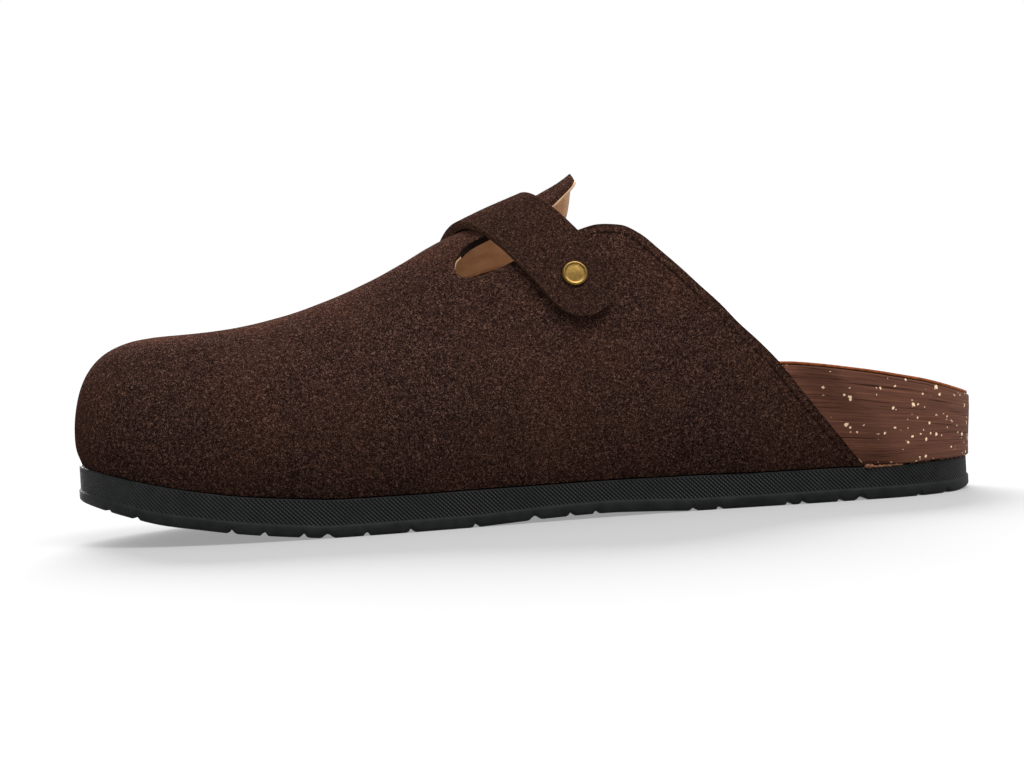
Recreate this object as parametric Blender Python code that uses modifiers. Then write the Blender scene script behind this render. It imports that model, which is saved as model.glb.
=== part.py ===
"""Clog slipper, right foot: outsole, footbed, insole, hollow upper, strap and two rivets.

Lengths are millimetres until the mesh is written. "along" runs from the back of the heel to the
toe, "side" runs to the medial edge (positive) or the lateral edge (negative), "up" is the height.
"""
import functools
import math
from collections import namedtuple

import bpy
import numpy as np
from mathutils import Vector
from mathutils.bvhtree import BVHTree

OBJECT_NAME = "clog_slipper"
MILLIMETRE = 0.001
MIDDLE_ALONG = 143.2
MIDDLE_SIDE = 0.1
MEDIAL = 1
LATERAL = -1

# Plan of the outsole.
SLOPE_REACH = 0.5
STRAIGHT_SAMPLES = 40
ROUND_SAMPLES = 400
HEEL_BACK = 2.2
HEEL_CENTRE = 39.0
HEEL_SIDE = 1.0
HEEL_POWER = 2.1
TOE_TIP = 285.4
TOE_SIDE = 9.0
TOE_START = {MEDIAL: 215.0, LATERAL: 190.0}
TOE_POWER = {MEDIAL: 2.6, LATERAL: 2.2}
Edge = namedtuple("Edge", "along medial lateral")
PLAN = (
    Edge(39, 37.0, -35.0),
    Edge(60, 37.9, -38.0),
    Edge(85, 37.5, -41.8),
    Edge(110, 38.7, -45.5),
    Edge(135, 42.0, -49.0),
    Edge(160, 46.5, -51.8),
    Edge(190, 51.5, -53.25),
    Edge(205, 53.0, -53.25),
    Edge(215, 53.25, -53.25),
)

# Outsole: heights of its two faces, then its edge as steps out from the plan.
Level = namedtuple("Level", "along up")
SOLE_TOP = (
    Level(2.2, 10.3),
    Level(20, 10.5),
    Level(37, 10.0),
    Level(50, 10.6),
    Level(70, 10.6),
    Level(95, 11.0),
    Level(125, 11.4),
    Level(187, 11.5),
    Level(206, 11.6),
    Level(218, 12.5),
    Level(236, 14.3),
    Level(248, 16.2),
    Level(260, 18.5),
    Level(272, 21.3),
    Level(285.4, 24.8),
)
SOLE_BOTTOM = (
    Level(2.2, 0.9),
    Level(10, 0.0),
    Level(92, 0.0),
    Level(108, 0.7),
    Level(125, 1.3),
    Level(142, 1.0),
    Level(158, 0.3),
    Level(166, 0.0),
    Level(208, 0.0),
    Level(218, 0.8),
    Level(236, 2.8),
    Level(248, 4.7),
    Level(260, 6.7),
    Level(272, 9.9),
    Level(285.4, 13.8),
)
GROOVES = (14, 24, 50, 62, 66.5, 88, 96.3, 126.7, 134.8, 164.5, 184.5, 198, 217.2, 229, 238.8, 267.6, 276.3)
GROOVE_HALF_WIDTH = 1.2
GROOVE_DEPTH = 1.3
TREAD_CHAMFER = 1.0
BAND_TOP = 3.4
BAND_STEP = 0.5
TOP_CHAMFER = 0.5
SOLE_STATIONS = (2.24, 2.7, 4, 6.5, 10, 18, 31, 38, 44, 56, 74, 81, 105, 115, 145, 155, 174, 191, 206,
                 245, 252, 259, 272.5, 280, 282.3, 283.9, 284.8, 285.25, 285.38)

# Footbed: rim heights and bowl floor, thickness of its rim, shape of the bowl.
GAP = 0.3
Rim = namedtuple("Rim", "along medial lateral")
RIM = (
    Rim(0, 30.5, 29.0),
    Rim(6, 32.5, 30.6),
    Rim(15, 35.0, 32.8),
    Rim(28, 38.1, 35.4),
    Rim(42, 41.1, 38.0),
    Rim(64, 44.4, 40.6),
    Rim(85, 45.3, 41.0),
    Rim(105, 44.0, 38.7),
    Rim(130, 39.0, 33.0),
    Rim(160, 32.0, 29.0),
    Rim(190, 28.0, 27.0),
    Rim(220, 27.5, 27.5),
    Rim(250, 30.5, 30.5),
    Rim(286, 38.0, 38.0),
)
FLOOR = (
    Level(3, 26.5),
    Level(15, 24.3),
    Level(36, 22.5),
    Level(60, 24.0),
    Level(90, 27.0),
    Level(120, 26.5),
    Level(150, 24.0),
    Level(180, 21.5),
    Level(205, 21.0),
    Level(230, 23.0),
    Level(250, 26.0),
    Level(286, 35.0),
)
INSOLE_THICKNESS = 1.3
BED_CLEARANCE = 0.7
HEEL_OUTSET = 0.4
HEEL_FLARE = 1.1
RIM_WIDTH = 2.6
RIM_ROUND = 0.6
RIM_SOFTENING = 0.18
COVERING_EDGE_POINTS = 8
COVER_LEAD = 16.0
COVER_LENGTH = 14.0
SPINE_BACK = 38.0
SPINE_LEVEL_BACK = 60.0
SPINE_LEVEL_FRONT = 225.0
SPINE_FRONT = 250.0
RIM_ROW = 3
BOWL_ROWS = (0.14, 0.34, 0.62)
BOWL_POWER = 2.4
BED_STATIONS = (2.24, 3.0, 5.2, 9, 14, 20, 28, 37, 47, 58, 70, 83, 97, 112, 128, 145, 162, 180, 197, 213,
                228, 241, 252, 261, 268.5, 274.5, 279, 282.2, 284.2, 285.2, 285.38)

# Upper: ridge over the last, roundness of its sections, edges of the openings.
WALL = 2.4
BASE_SETBACK = 0.3
TOE_SETBACK = 1.2
BULGE = 1.2
TOE_BULGE = 1.9
BULGE_HEIGHT = 13.0
TOE_BULGE_HEIGHT = 9.0
Ridge = namedtuple("Ridge", "along side up medial_power lateral_power")
RIDGE = (
    Ridge(40, 3.0, 115.0, 2.10, 2.00),
    Ridge(60, 4.0, 115.0, 2.05, 1.95),
    Ridge(90, 5.5, 113.0, 2.05, 1.85),
    Ridge(110, 6.0, 110.0, 2.05, 1.80),
    Ridge(126, 6.5, 105.6, 2.10, 1.80),
    Ridge(142, 7.0, 98.3, 2.10, 1.80),
    Ridge(155, 7.0, 93.2, 2.10, 1.85),
    Ridge(168, 7.0, 88.0, 2.15, 1.90),
    Ridge(181, 7.5, 81.3, 2.20, 2.00),
    Ridge(194, 8.0, 75.4, 2.30, 2.10),
    Ridge(207, 8.5, 70.7, 2.45, 2.25),
    Ridge(220, 9.0, 66.7, 2.60, 2.50),
    Ridge(232, 9.0, 64.4, 3.00, 2.90),
    Ridge(245, 9.0, 63.0, 3.30, 3.30),
)
FAN_START = 200.0
FAN_POLE = 245.0
FAN_POWER = 2.2
FAN_COLUMNS = 14
Opening = namedtuple("Opening", "along up")
WING = {
    MEDIAL: (
        Opening(42.5, 11.2), Opening(45.1, 14.4), Opening(49.5, 20.3), Opening(55.4, 28.3),
        Opening(61.2, 36.3), Opening(67, 44.6), Opening(72.9, 51.4), Opening(78.8, 57.5),
        Opening(83.8, 63.5), Opening(89.7, 69.6), Opening(95.6, 75.8), Opening(101.6, 81.7),
        Opening(106.8, 86.6), Opening(112.8, 89.8), Opening(119.1, 90.4), Opening(126.4, 88.9),
        Opening(136, 85.2), Opening(147, 80.4), Opening(157, 77.0), Opening(161, 76.8),
        Opening(164.2, 78.8),
    ),
    LATERAL: (
        Opening(42.5, 11.2), Opening(45.5, 14.2), Opening(50, 19.8), Opening(56, 27.6),
        Opening(62, 34.3), Opening(68, 41.8), Opening(74, 48.6), Opening(80, 55.0),
        Opening(86, 61.0), Opening(92, 67.0), Opening(98, 72.6), Opening(104, 77.6),
        Opening(109, 81.0), Opening(114.5, 83.2), Opening(120, 83.4), Opening(128, 81.4),
        Opening(137, 77.6), Opening(147, 73.4), Opening(157, 70.4), Opening(162.4, 70.0),
        Opening(164.2, 71.8),
    ),
}
TONGUE = {
    MEDIAL: (
        Opening(125.7, 104.0), Opening(129, 101.0), Opening(133, 97.6), Opening(141, 93.0),
        Opening(148.7, 89.6), Opening(155, 87.8), Opening(160.5, 86.0), Opening(164.2, 82.9),
    ),
    LATERAL: (
        Opening(125.7, 91.5), Opening(129, 88.2), Opening(133, 85.2), Opening(141, 81.4),
        Opening(148, 79.0), Opening(156, 77.4), Opening(161, 76.6), Opening(164.2, 75.2),
    ),
}
SLOT_END_REACH = 1.3
WING_COLUMNS = (42.5, 45, 49, 54, 60, 66, 72, 78, 84, 90, 96, 101.5, 106, 110, 114, 118.5)
TONGUE_COLUMNS = (125.7, 127.2, 130, 134, 138, 143, 148, 153, 157.5, 161, 163)
SLOT_FRONT = 164.2
FRONT_COLUMNS = (168, 173, 179, 185, 191)
WING_ROWS = 8
SLOT_ROWS = 2
TONGUE_ROWS = 4
SLOT_SPREAD_LENGTH = 60.0
CURVE_SAMPLES = 90
FAN_SAMPLES = 60

# Strap over the instep, laid on the upper as a straight band.
STRAP_CREST = 151.2
STRAP_SLANT = 20.8
STRAP_WIDTH = 20.8
STRAP_THICKNESS = 2.9
STRAP_LIFT = 0.4
STRAP_ROUND = 0.7
STRAP_REACH = {MEDIAL: 56.0, LATERAL: 59.0}
TAB_LENGTH = 12.0
TAB_POWER = 2.1
TAB_ROWS = (0.18, 0.42, 0.66, 0.84, 0.95, 0.995)
STRAP_STEP = 5.2
WALK_STEP = 1.0
RIVET_FROM_END = 13.0
RIVET_RADIUS = 4.0
RIVET_HEIGHT = 1.3
RIVET_ROUND = 0.6
RIVET_SIDES = 28
CLOTH_FROM = 92.0
CLOTH_TO = 190.0
CLOTH_STEP = 1.0
CLOTH_ROWS = 150
CLOTH_LOW_ANGLE = 0.12
NORMAL_REACH = 2.0

Finish = namedtuple("Finish", "colour roughness metallic")
FINISHES = {
    "outsole": Finish("222323", 0.72, 0.0),
    "footbed": Finish("65402F", 0.85, 0.0),
    "insole": Finish("8A5A3C", 0.92, 0.0),
    "upper": Finish("3D2921", 0.95, 0.0),
    "strap": Finish("3A2720", 0.95, 0.0),
    "rivet_medial": Finish("B08F45", 0.30, 1.0),
    "rivet_lateral": Finish("B08F45", 0.30, 1.0),
}


def linear_colour(text):
    """Turn an sRGB hex colour into linear values with alpha."""
    values = []
    for start in (0, 2, 4):
        value = int(text[start:start + 2], 16) / 255.0
        values.append(value / 12.92 if value <= 0.04045 else ((value + 0.055) / 1.055) ** 2.4)
    return (*values, 1.0)


@functools.lru_cache(maxsize=None)
def curve(rows, column, along):
    """Read a table column at a distance, smoothly and without overshoot."""
    xs = [row[0] for row in rows]
    ys = [getattr(row, column) for row in rows]
    if along <= xs[0]:
        return ys[0]
    if along >= xs[-1]:
        return ys[-1]
    index = max(i for i, x in enumerate(xs) if x <= along)
    slopes = [(ys[i + 1] - ys[i]) / (xs[i + 1] - xs[i]) for i in range(len(xs) - 1)]

    def tangent(at):
        if at == 0:
            return slopes[0]
        if at == len(xs) - 1:
            return slopes[-1]
        before, after = slopes[at - 1], slopes[at]
        return 2 * before * after / (before + after) if before * after > 0 else 0.0

    span = xs[index + 1] - xs[index]
    t = (along - xs[index]) / span
    start = ys[index] * (2 * t ** 3 - 3 * t ** 2 + 1) + tangent(index) * span * (t ** 3 - 2 * t ** 2 + t)
    end = ys[index + 1] * (3 * t ** 2 - 2 * t ** 3) + tangent(index + 1) * span * (t ** 3 - t ** 2)
    return start + end


def smooth_step(value):
    """Ease from 0 to 1 between 0 and 1."""
    value = min(max(value, 0.0), 1.0)
    return value * value * (3 - 2 * value)


def column_name(hand):
    """Name the table column of a side of the shoe."""
    return "medial" if hand == MEDIAL else "lateral"


def plan_point(hand, along, out=0.0):
    """Find a point of the plan outline, moved outward by a distance."""
    if along < HEEL_CENTRE:
        reach = HEEL_CENTRE - HEEL_BACK
        width = abs(curve(PLAN, column_name(hand), HEEL_CENTRE) - HEEL_SIDE)
        centre, power, back = HEEL_SIDE, HEEL_POWER, -1
        part = min((HEEL_CENTRE - along) / reach, 1.0)
    elif along > TOE_START[hand]:
        reach = TOE_TIP - TOE_START[hand]
        width = abs(curve(PLAN, column_name(hand), TOE_START[hand]) - TOE_SIDE)
        centre, power, back = TOE_SIDE, TOE_POWER[hand], 1
        part = min((along - TOE_START[hand]) / reach, 1.0)
    else:
        side, ahead, behind = (curve(PLAN, column_name(hand), along + shift)
                               for shift in (0.0, SLOPE_REACH, -SLOPE_REACH))
        slope = (ahead - behind) / (2 * SLOPE_REACH)
        normal = np.array([-hand * slope, hand])
        normal /= np.linalg.norm(normal)
        return np.array([along, side]) + out * normal
    across = (1 - part ** power) ** (1 / power)
    normal = np.array([back * part ** (power - 1) / reach, hand * across ** (power - 1) / width])
    normal /= np.linalg.norm(normal)
    return np.array([along, centre + hand * width * across]) + out * normal


def base_setback(along):
    """Set the upper's lower edge back from the plan, further at the toe."""
    return BASE_SETBACK + TOE_SETBACK * max(0.0, (along - FAN_START) / (TOE_TIP - FAN_START)) ** 2


def fan_point(hand, share):
    """Walk along the toe outline from the start of the fan to the tip by a share of its length."""
    angles = np.linspace(0.0, math.pi / 2, ROUND_SAMPLES)
    reach = TOE_TIP - TOE_START[hand]
    ends = TOE_START[hand] + reach * np.sin(angles) ** (2 / TOE_POWER[hand])
    stations = np.concatenate([np.linspace(FAN_START, TOE_START[hand], STRAIGHT_SAMPLES)[:-1], ends])
    stations = stations[stations >= FAN_START]
    points = np.array([plan_point(hand, station, -base_setback(station)) for station in stations])
    lengths = np.concatenate([[0.0], np.cumsum(np.linalg.norm(np.diff(points, axis=0), axis=1))])
    wanted = share * lengths[-1]
    return np.array([np.interp(wanted, lengths, points[:, 0]), np.interp(wanted, lengths, points[:, 1])])


def section_curve(hand, base, ridge_along, angles, toe_share=0.0):
    """Run one section of the upper from its base to the ridge.

    The section is a quarter superellipse with a soft bulge over the welt.
    """
    side = curve(RIDGE, "side", ridge_along)
    top = curve(RIDGE, "up", ridge_along)
    power = curve(RIDGE, column_name(hand) + "_power", ridge_along)
    bottom = curve(SOLE_TOP, "up", base[0]) + GAP
    ridge = np.array([ridge_along, side])
    outward = base - ridge
    outward /= np.linalg.norm(outward)
    across = np.cos(angles) ** (2 / power)
    rise = np.sin(angles) ** (2 / power)
    height = (top - bottom) * rise
    part = height / (BULGE_HEIGHT + (TOE_BULGE_HEIGHT - BULGE_HEIGHT) * toe_share)
    swell = (BULGE + (TOE_BULGE - BULGE) * toe_share) * part * np.exp(1 - part)
    plan = ridge + np.outer(across, base - ridge) + np.outer(swell, outward)
    return np.column_stack([plan, bottom + height])


def side_section(hand, along, angles):
    """Run a section of the upper that stands square to the shoe's length."""
    return section_curve(hand, plan_point(hand, along, -BASE_SETBACK), along, angles)


def mesh_object(name, points, faces, collection):
    """Write one sub-part from points in millimetres and its faces."""
    mesh = bpy.data.meshes.new(name)
    centred = np.array([tuple(point) for point in points]) - (MIDDLE_ALONG, MIDDLE_SIDE, 0.0)
    placed = (centred * MILLIMETRE).tolist()
    mesh.from_pydata(placed, [], faces)
    mesh.validate()
    mesh.polygons.foreach_set("use_smooth", [True] * len(mesh.polygons))
    finish = FINISHES[name]
    material = bpy.data.materials.new(name)
    material.use_nodes = True
    shader = material.node_tree.nodes["Principled BSDF"]
    shader.inputs["Base Color"].default_value = linear_colour(finish.colour)
    shader.inputs["Roughness"].default_value = finish.roughness
    shader.inputs["Metallic"].default_value = finish.metallic
    material.diffuse_color = linear_colour(finish.colour)
    mesh.materials.append(material)
    made = bpy.data.objects.new(name, mesh)
    collection.objects.link(made)
    return made


def make_outsole(collection):
    """Loft the outsole: rings across the shoe, with notched tread, lower band and step."""
    lifts = {}
    for station in SOLE_STATIONS:
        lifts[station] = 0.0
    for groove in GROOVES:
        lifts[groove - GROOVE_HALF_WIDTH] = 0.0
        lifts[groove] = GROOVE_DEPTH
        lifts[groove + GROOVE_HALF_WIDTH] = 0.0
    points = []
    stations = sorted(lifts)
    for along in stations:
        low = curve(SOLE_BOTTOM, "up", along)
        top = curve(SOLE_TOP, "up", along)
        lift = lifts[along]
        edge = (
            (-TREAD_CHAMFER, low + lift),
            (0.0, low + TREAD_CHAMFER + lift),
            (0.0, low + BAND_TOP),
            (-BAND_STEP, low + BAND_TOP + BAND_STEP),
            (-BAND_STEP, top - TOP_CHAMFER),
            (-BAND_STEP - TOP_CHAMFER, top),
        )
        ring = [(*plan_point(MEDIAL, along, out), up) for out, up in edge]
        ring += [(*plan_point(LATERAL, along, out), up) for out, up in reversed(edge)]
        points += ring
    around = 2 * len(edge)
    faces = []
    for i in range(len(stations) - 1):
        for j in range(around):
            nxt = (j + 1) % around
            a, b = i * around + j, i * around + nxt
            faces.append((a, b, b + around, a + around))
    faces.append(tuple(range(around))[::-1])
    last = (len(stations) - 1) * around
    faces.append(tuple(last + j for j in range(around)))
    return mesh_object("outsole", points, faces, collection)


@functools.lru_cache(maxsize=None)
def fan_sections(hand):
    """List closely spaced sections of the upper around the toe, with the base of each."""
    angles = np.linspace(0.0, math.pi / 2, CURVE_SAMPLES)
    sections = []
    for share in np.linspace(0.0, 1.0, FAN_SAMPLES):
        base = fan_point(hand, share)
        sections.append(section_curve(hand, base, fan_ridge(share), angles, share))
    return sections


def outer_side(hand, along, up):
    """Find how far the upper's outer face stands out from the plan at a height."""
    if along <= FAN_START:
        track = side_section(hand, along, np.linspace(0.0, math.pi / 2, CURVE_SAMPLES))
    else:
        track = min(fan_sections(hand), key=lambda section: abs(section[0, 0] - along))
    outward = plan_point(hand, along, 1.0) - plan_point(hand, along)
    plan = np.array([np.interp(up, track[:, 2], track[:, k]) for k in range(2)])
    return float(np.dot(plan - track[0, :2], outward)) - base_setback(along)


def fan_ridge(share):
    """Place the ridge end of a toe section for a share of the toe outline."""
    return FAN_START + (FAN_POLE - FAN_START) * (1 - (1 - share) ** FAN_POWER)


def bed_side(hand, along, up, low, high):
    """Place the footbed's side at a height: flared at the bare heel, inside the upper further on."""
    bare = HEEL_OUTSET + HEEL_FLARE * smooth_step((up - low) / (high - low))
    covering = WING[hand][:COVERING_EDGE_POINTS]
    edge = np.interp(up, [row.up for row in covering], [row.along for row in covering])
    cover = smooth_step((along - (edge - COVER_LEAD)) / COVER_LENGTH)
    if cover == 0.0:
        return bare
    inside = outer_side(hand, along, up) - WALL - BED_CLEARANCE
    return bare + (inside - bare) * cover


def bed_rows(hand, along):
    """Give the points of the footbed from its lower edge to its spine at one station."""
    low = curve(SOLE_TOP, "up", along) + GAP
    rim = curve(RIM, column_name(hand), along) - INSOLE_THICKNESS - GAP
    middle = 0.5 * (low + rim)
    rows = []
    for up in (low, middle, rim - RIM_ROUND):
        rows.append((*plan_point(hand, along, bed_side(hand, along, up, low, rim)), up))
    edge = bed_side(hand, along, rim, low, rim)
    rows.append((*plan_point(hand, along, edge - RIM_ROUND), rim))
    inner = plan_point(hand, along, edge - RIM_WIDTH)
    rows.append((*inner, rim - RIM_SOFTENING))
    spine_along = np.interp(along, (HEEL_BACK, SPINE_LEVEL_BACK, SPINE_LEVEL_FRONT, TOE_TIP),
                            (SPINE_BACK, SPINE_LEVEL_BACK, SPINE_LEVEL_FRONT, SPINE_FRONT))
    spine_side = 0.5 * (plan_point(MEDIAL, spine_along)[1] + plan_point(LATERAL, spine_along)[1])
    spine = np.array([spine_along, spine_side])
    drop = rim - curve(FLOOR, "up", inner[0])
    for share in (*BOWL_ROWS, 1.0):
        plan = inner + (spine - inner) * share
        up = curve(FLOOR, "up", plan[0]) + drop * (1 - share) ** BOWL_POWER
        rows.append((*plan, up))
    return rows


def loop_faces(stations, rows):
    """Join two strips of station rows into a closed band whose last row is shared.

    Rows of a station are numbered hand by hand; the shared last row is numbered once per station.
    Every face is a triangle, so that two layers over the same rows bend alike.
    """
    def at(hand_index, station, row):
        if row == rows - 1:
            return station * (2 * rows - 1) + 2 * (rows - 1)
        return station * (2 * rows - 1) + hand_index * (rows - 1) + row

    faces = []

    def quad(first, second, third, fourth):
        faces.append((first, second, third))
        faces.append((first, third, fourth))

    for station in range(stations - 1):
        for row in range(rows - 1):
            quad(at(0, station, row), at(0, station, row + 1), at(0, station + 1, row + 1),
                 at(0, station + 1, row))
            quad(at(1, station, row), at(1, station + 1, row), at(1, station + 1, row + 1),
                 at(1, station, row + 1))
    for station, first, second in ((0, 1, 0), (stations - 1, 0, 1)):
        for row in range(rows - 2):
            quad(at(first, station, row), at(first, station, row + 1), at(second, station, row + 1),
                 at(second, station, row))
        row = rows - 2
        faces.append((at(first, station, row), at(first, station, rows - 1), at(second, station, row)))
    return faces


def bed_points(stations, first_row):
    """Collect the footbed rows of every station from a row on, spine last."""
    points = []
    for along in stations:
        medial = bed_rows(MEDIAL, along)[first_row:]
        lateral = bed_rows(LATERAL, along)[first_row:]
        points += medial[:-1] + lateral[:-1] + [medial[-1]]
    return points, len(medial)


def make_footbed(collection):
    """Loft the footbed: flat below, raised rim and a bowl for the foot above."""
    points, rows = bed_points(BED_STATIONS, 0)
    faces = loop_faces(len(BED_STATIONS), rows)
    stride = 2 * rows - 1
    for station in range(len(BED_STATIONS) - 1):
        a = station * stride
        faces.append((a, a + stride, a + stride + rows - 1, a + rows - 1))
    return mesh_object("footbed", points, faces, collection)


def make_insole(collection):
    """Lay the insole on the footbed's rim and bowl as a thin closed sheet."""
    points, rows = bed_points(BED_STATIONS, RIM_ROW)
    faces = loop_faces(len(BED_STATIONS), rows)
    base = np.array(points)
    normals = np.zeros_like(base)
    for face in faces:
        corner = base[list(face)]
        normal = np.cross(corner[1] - corner[0], corner[2] - corner[0])
        for index in face:
            normals[index] += normal
    normals /= np.linalg.norm(normals, axis=1)[:, None]
    normals[normals[:, 2] < 0] *= -1
    stride = 2 * rows - 1
    rim = [i for i in range(len(base)) if i % stride in (0, rows - 1)]
    normals[rim] = (0.0, 0.0, 1.0)
    under = base + normals * GAP
    over = base + normals * (GAP + INSOLE_THICKNESS)
    points = np.vstack([under, over])
    total = len(base)
    sheet = [tuple(total + i for i in face) for face in faces]
    sheet += [tuple(face[::-1]) for face in faces]
    count = len(BED_STATIONS)
    ring = [station * stride for station in range(count)]
    ring += [station * stride + rows - 1 for station in range(count - 1, -1, -1)]
    for i, start in enumerate(ring):
        end = ring[(i + 1) % len(ring)]
        sheet.append((start, total + start, total + end, end))
    return mesh_object("insole", points, sheet, collection)


def opening_share(track, lengths, up):
    """Turn the height of an opening's edge into a share of the section's length."""
    return float(np.interp(up, track[:, 2], lengths)) / lengths[-1]


def upper_columns(hand):
    """Work out every section of one side of the upper as rows of points."""
    angles = np.linspace(0.0, math.pi / 2, CURVE_SAMPLES)
    rows = WING_ROWS + SLOT_ROWS + TONGUE_ROWS
    placed = []
    for along in (*WING_COLUMNS, *TONGUE_COLUMNS, SLOT_FRONT, *FRONT_COLUMNS):
        placed.append((along, plan_point(hand, along, -BASE_SETBACK), along, 0.0))
    for step in range(FAN_COLUMNS + 1):
        share = step / FAN_COLUMNS
        placed.append((FAN_START + step, fan_point(hand, share), fan_ridge(share), share))
    tracks = []
    for along, base, ridge, toe_share in placed:
        track = section_curve(hand, base, ridge, angles, toe_share)
        lengths = np.concatenate([[0.0], np.cumsum(np.linalg.norm(np.diff(track, axis=0), axis=1))])
        if along <= SLOT_FRONT:
            wing = opening_share(track, lengths, curve(WING[hand], "up", along))
            tongue = opening_share(track, lengths, curve(TONGUE[hand], "up", along))
            front = (wing, tongue)
        else:
            spread = smooth_step((base[0] - SLOT_FRONT) / SLOT_SPREAD_LENGTH)
            wing = front[0] + (WING_ROWS / rows - front[0]) * spread
            tongue = front[1] + ((WING_ROWS + SLOT_ROWS) / rows - front[1]) * spread
        shares = list(np.linspace(0.0, wing, WING_ROWS + 1))
        shares += list(np.linspace(wing, tongue, SLOT_ROWS + 1))[1:]
        shares += list(np.linspace(tongue, 1.0, TONGUE_ROWS + 1))[1:]
        column = np.array([[np.interp(share * lengths[-1], lengths, track[:, k]) for k in range(3)]
                           for share in shares])
        tracks.append(column)
    slot = len(WING_COLUMNS) + len(TONGUE_COLUMNS)
    middle = WING_ROWS + SLOT_ROWS // 2
    ahead = tracks[slot + 1][middle] - tracks[slot][middle]
    tracks[slot][middle] += ahead * SLOT_END_REACH / np.linalg.norm(ahead)
    return tracks


def make_upper(collection):
    """Build the upper's outer face as one open sheet and give it a wall inward."""
    rows = WING_ROWS + SLOT_ROWS + TONGUE_ROWS
    points = []
    number = {}
    sides = {hand: upper_columns(hand) for hand in (MEDIAL, LATERAL)}
    columns = len(sides[MEDIAL])
    tongue_start = len(WING_COLUMNS)
    slot_start = tongue_start + len(TONGUE_COLUMNS)

    def at(hand, column, row):
        shared = row == rows or column == columns - 1
        key = (MEDIAL if shared else hand, column, row)
        if key not in number:
            number[key] = len(points)
            points.append(tuple(sides[key[0]][column][row]))
        return number[key]

    faces = []
    for hand in (MEDIAL, LATERAL):
        for column in range(columns - 1):
            for row in range(rows):
                if row >= WING_ROWS and column < tongue_start:
                    continue
                if WING_ROWS <= row < WING_ROWS + SLOT_ROWS and column < slot_start:
                    continue
                face = (at(hand, column, row), at(hand, column, row + 1),
                        at(hand, column + 1, row + 1), at(hand, column + 1, row))
                faces.append(face if hand == MEDIAL else face[::-1])
    made = mesh_object("upper", points, faces, collection)
    wall = made.modifiers.new("wall", "SOLIDIFY")
    wall.thickness = WALL * MILLIMETRE
    wall.offset = -1.0
    wall.use_even_offset = False
    wall.use_rim = True
    return made


def cloth_tree():
    """Build a dense copy of the upper's surface around the instep, to lay the strap on."""
    angles = np.linspace(CLOTH_LOW_ANGLE, math.pi / 2, CLOTH_ROWS)
    stations = np.arange(CLOTH_FROM, CLOTH_TO + CLOTH_STEP, CLOTH_STEP)
    grid = []
    for along in stations:
        medial = side_section(MEDIAL, along, angles)
        lateral = side_section(LATERAL, along, angles)
        grid.append(np.vstack([medial, lateral[::-1][1:]]))
    width = len(grid[0])
    points = [Vector(p) for p in np.vstack(grid)]
    faces = []
    for i in range(len(stations) - 1):
        for j in range(width - 1):
            a = i * width + j
            faces.append((a, a + 1, a + width + 1, a + width))
    return BVHTree.FromPolygons(points, faces)


def surface_normal(tree, point):
    """Average the outward normal of the cloth around a point."""
    total = Vector((0.0, 0.0, 0.0))
    for along, side in ((0, 0), (1, 0), (-1, 0), (0, 1), (0, -1)):
        shift = (along * NORMAL_REACH, side * NORMAL_REACH, 0.0)
        normal = tree.find_nearest(point + Vector(shift))[1]
        total += normal if normal.z > 0 or normal.y * point.y > 0 else -normal
    return total.normalized()


def walk(tree, point, heading, distance):
    """Walk straight over the cloth, and return the place, the heading and the normal there."""
    place = tree.find_nearest(point)[0]
    normal = surface_normal(tree, place)
    heading = (heading - normal * heading.dot(normal)).normalized()
    steps = max(1, math.ceil(distance / WALK_STEP))
    for _ in range(steps):
        place = tree.find_nearest(place + heading * (distance / steps))[0]
        normal = surface_normal(tree, place)
        heading = (heading - normal * heading.dot(normal)).normalized()
    return place, heading, normal


def strap_stations():
    """List the distances from the crest at which the strap has a section, lateral end first."""
    stations = []
    for hand in (LATERAL, MEDIAL):
        straight = STRAP_REACH[hand] - TAB_LENGTH
        count = round(straight / STRAP_STEP)
        side = [straight * i / count for i in range(1, count + 1)]
        side += [straight + TAB_LENGTH * share for share in TAB_ROWS]
        stations += [hand * distance for distance in side]
    return sorted([*stations, 0.0])


def strap_half_width(distance):
    """Give half the strap's width at a distance from the crest, with rounded tabs."""
    reach = STRAP_REACH[MEDIAL if distance > 0 else LATERAL]
    part = max(0.0, (abs(distance) - (reach - TAB_LENGTH)) / TAB_LENGTH)
    return 0.5 * STRAP_WIDTH * (1 - part ** TAB_POWER) ** (1 / TAB_POWER)


def strap_centre(tree, distance):
    """Find a point of the strap's centre line, with its heading and the surface normal."""
    crest = Vector((STRAP_CREST, curve(RIDGE, "side", STRAP_CREST), curve(RIDGE, "up", STRAP_CREST)))
    slant = math.radians(STRAP_SLANT)
    hand = 1 if distance >= 0 else -1
    heading = Vector((-math.sin(slant) * hand, math.cos(slant) * hand, 0.0))
    return walk(tree, crest, heading, max(abs(distance), 0.01))


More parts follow.
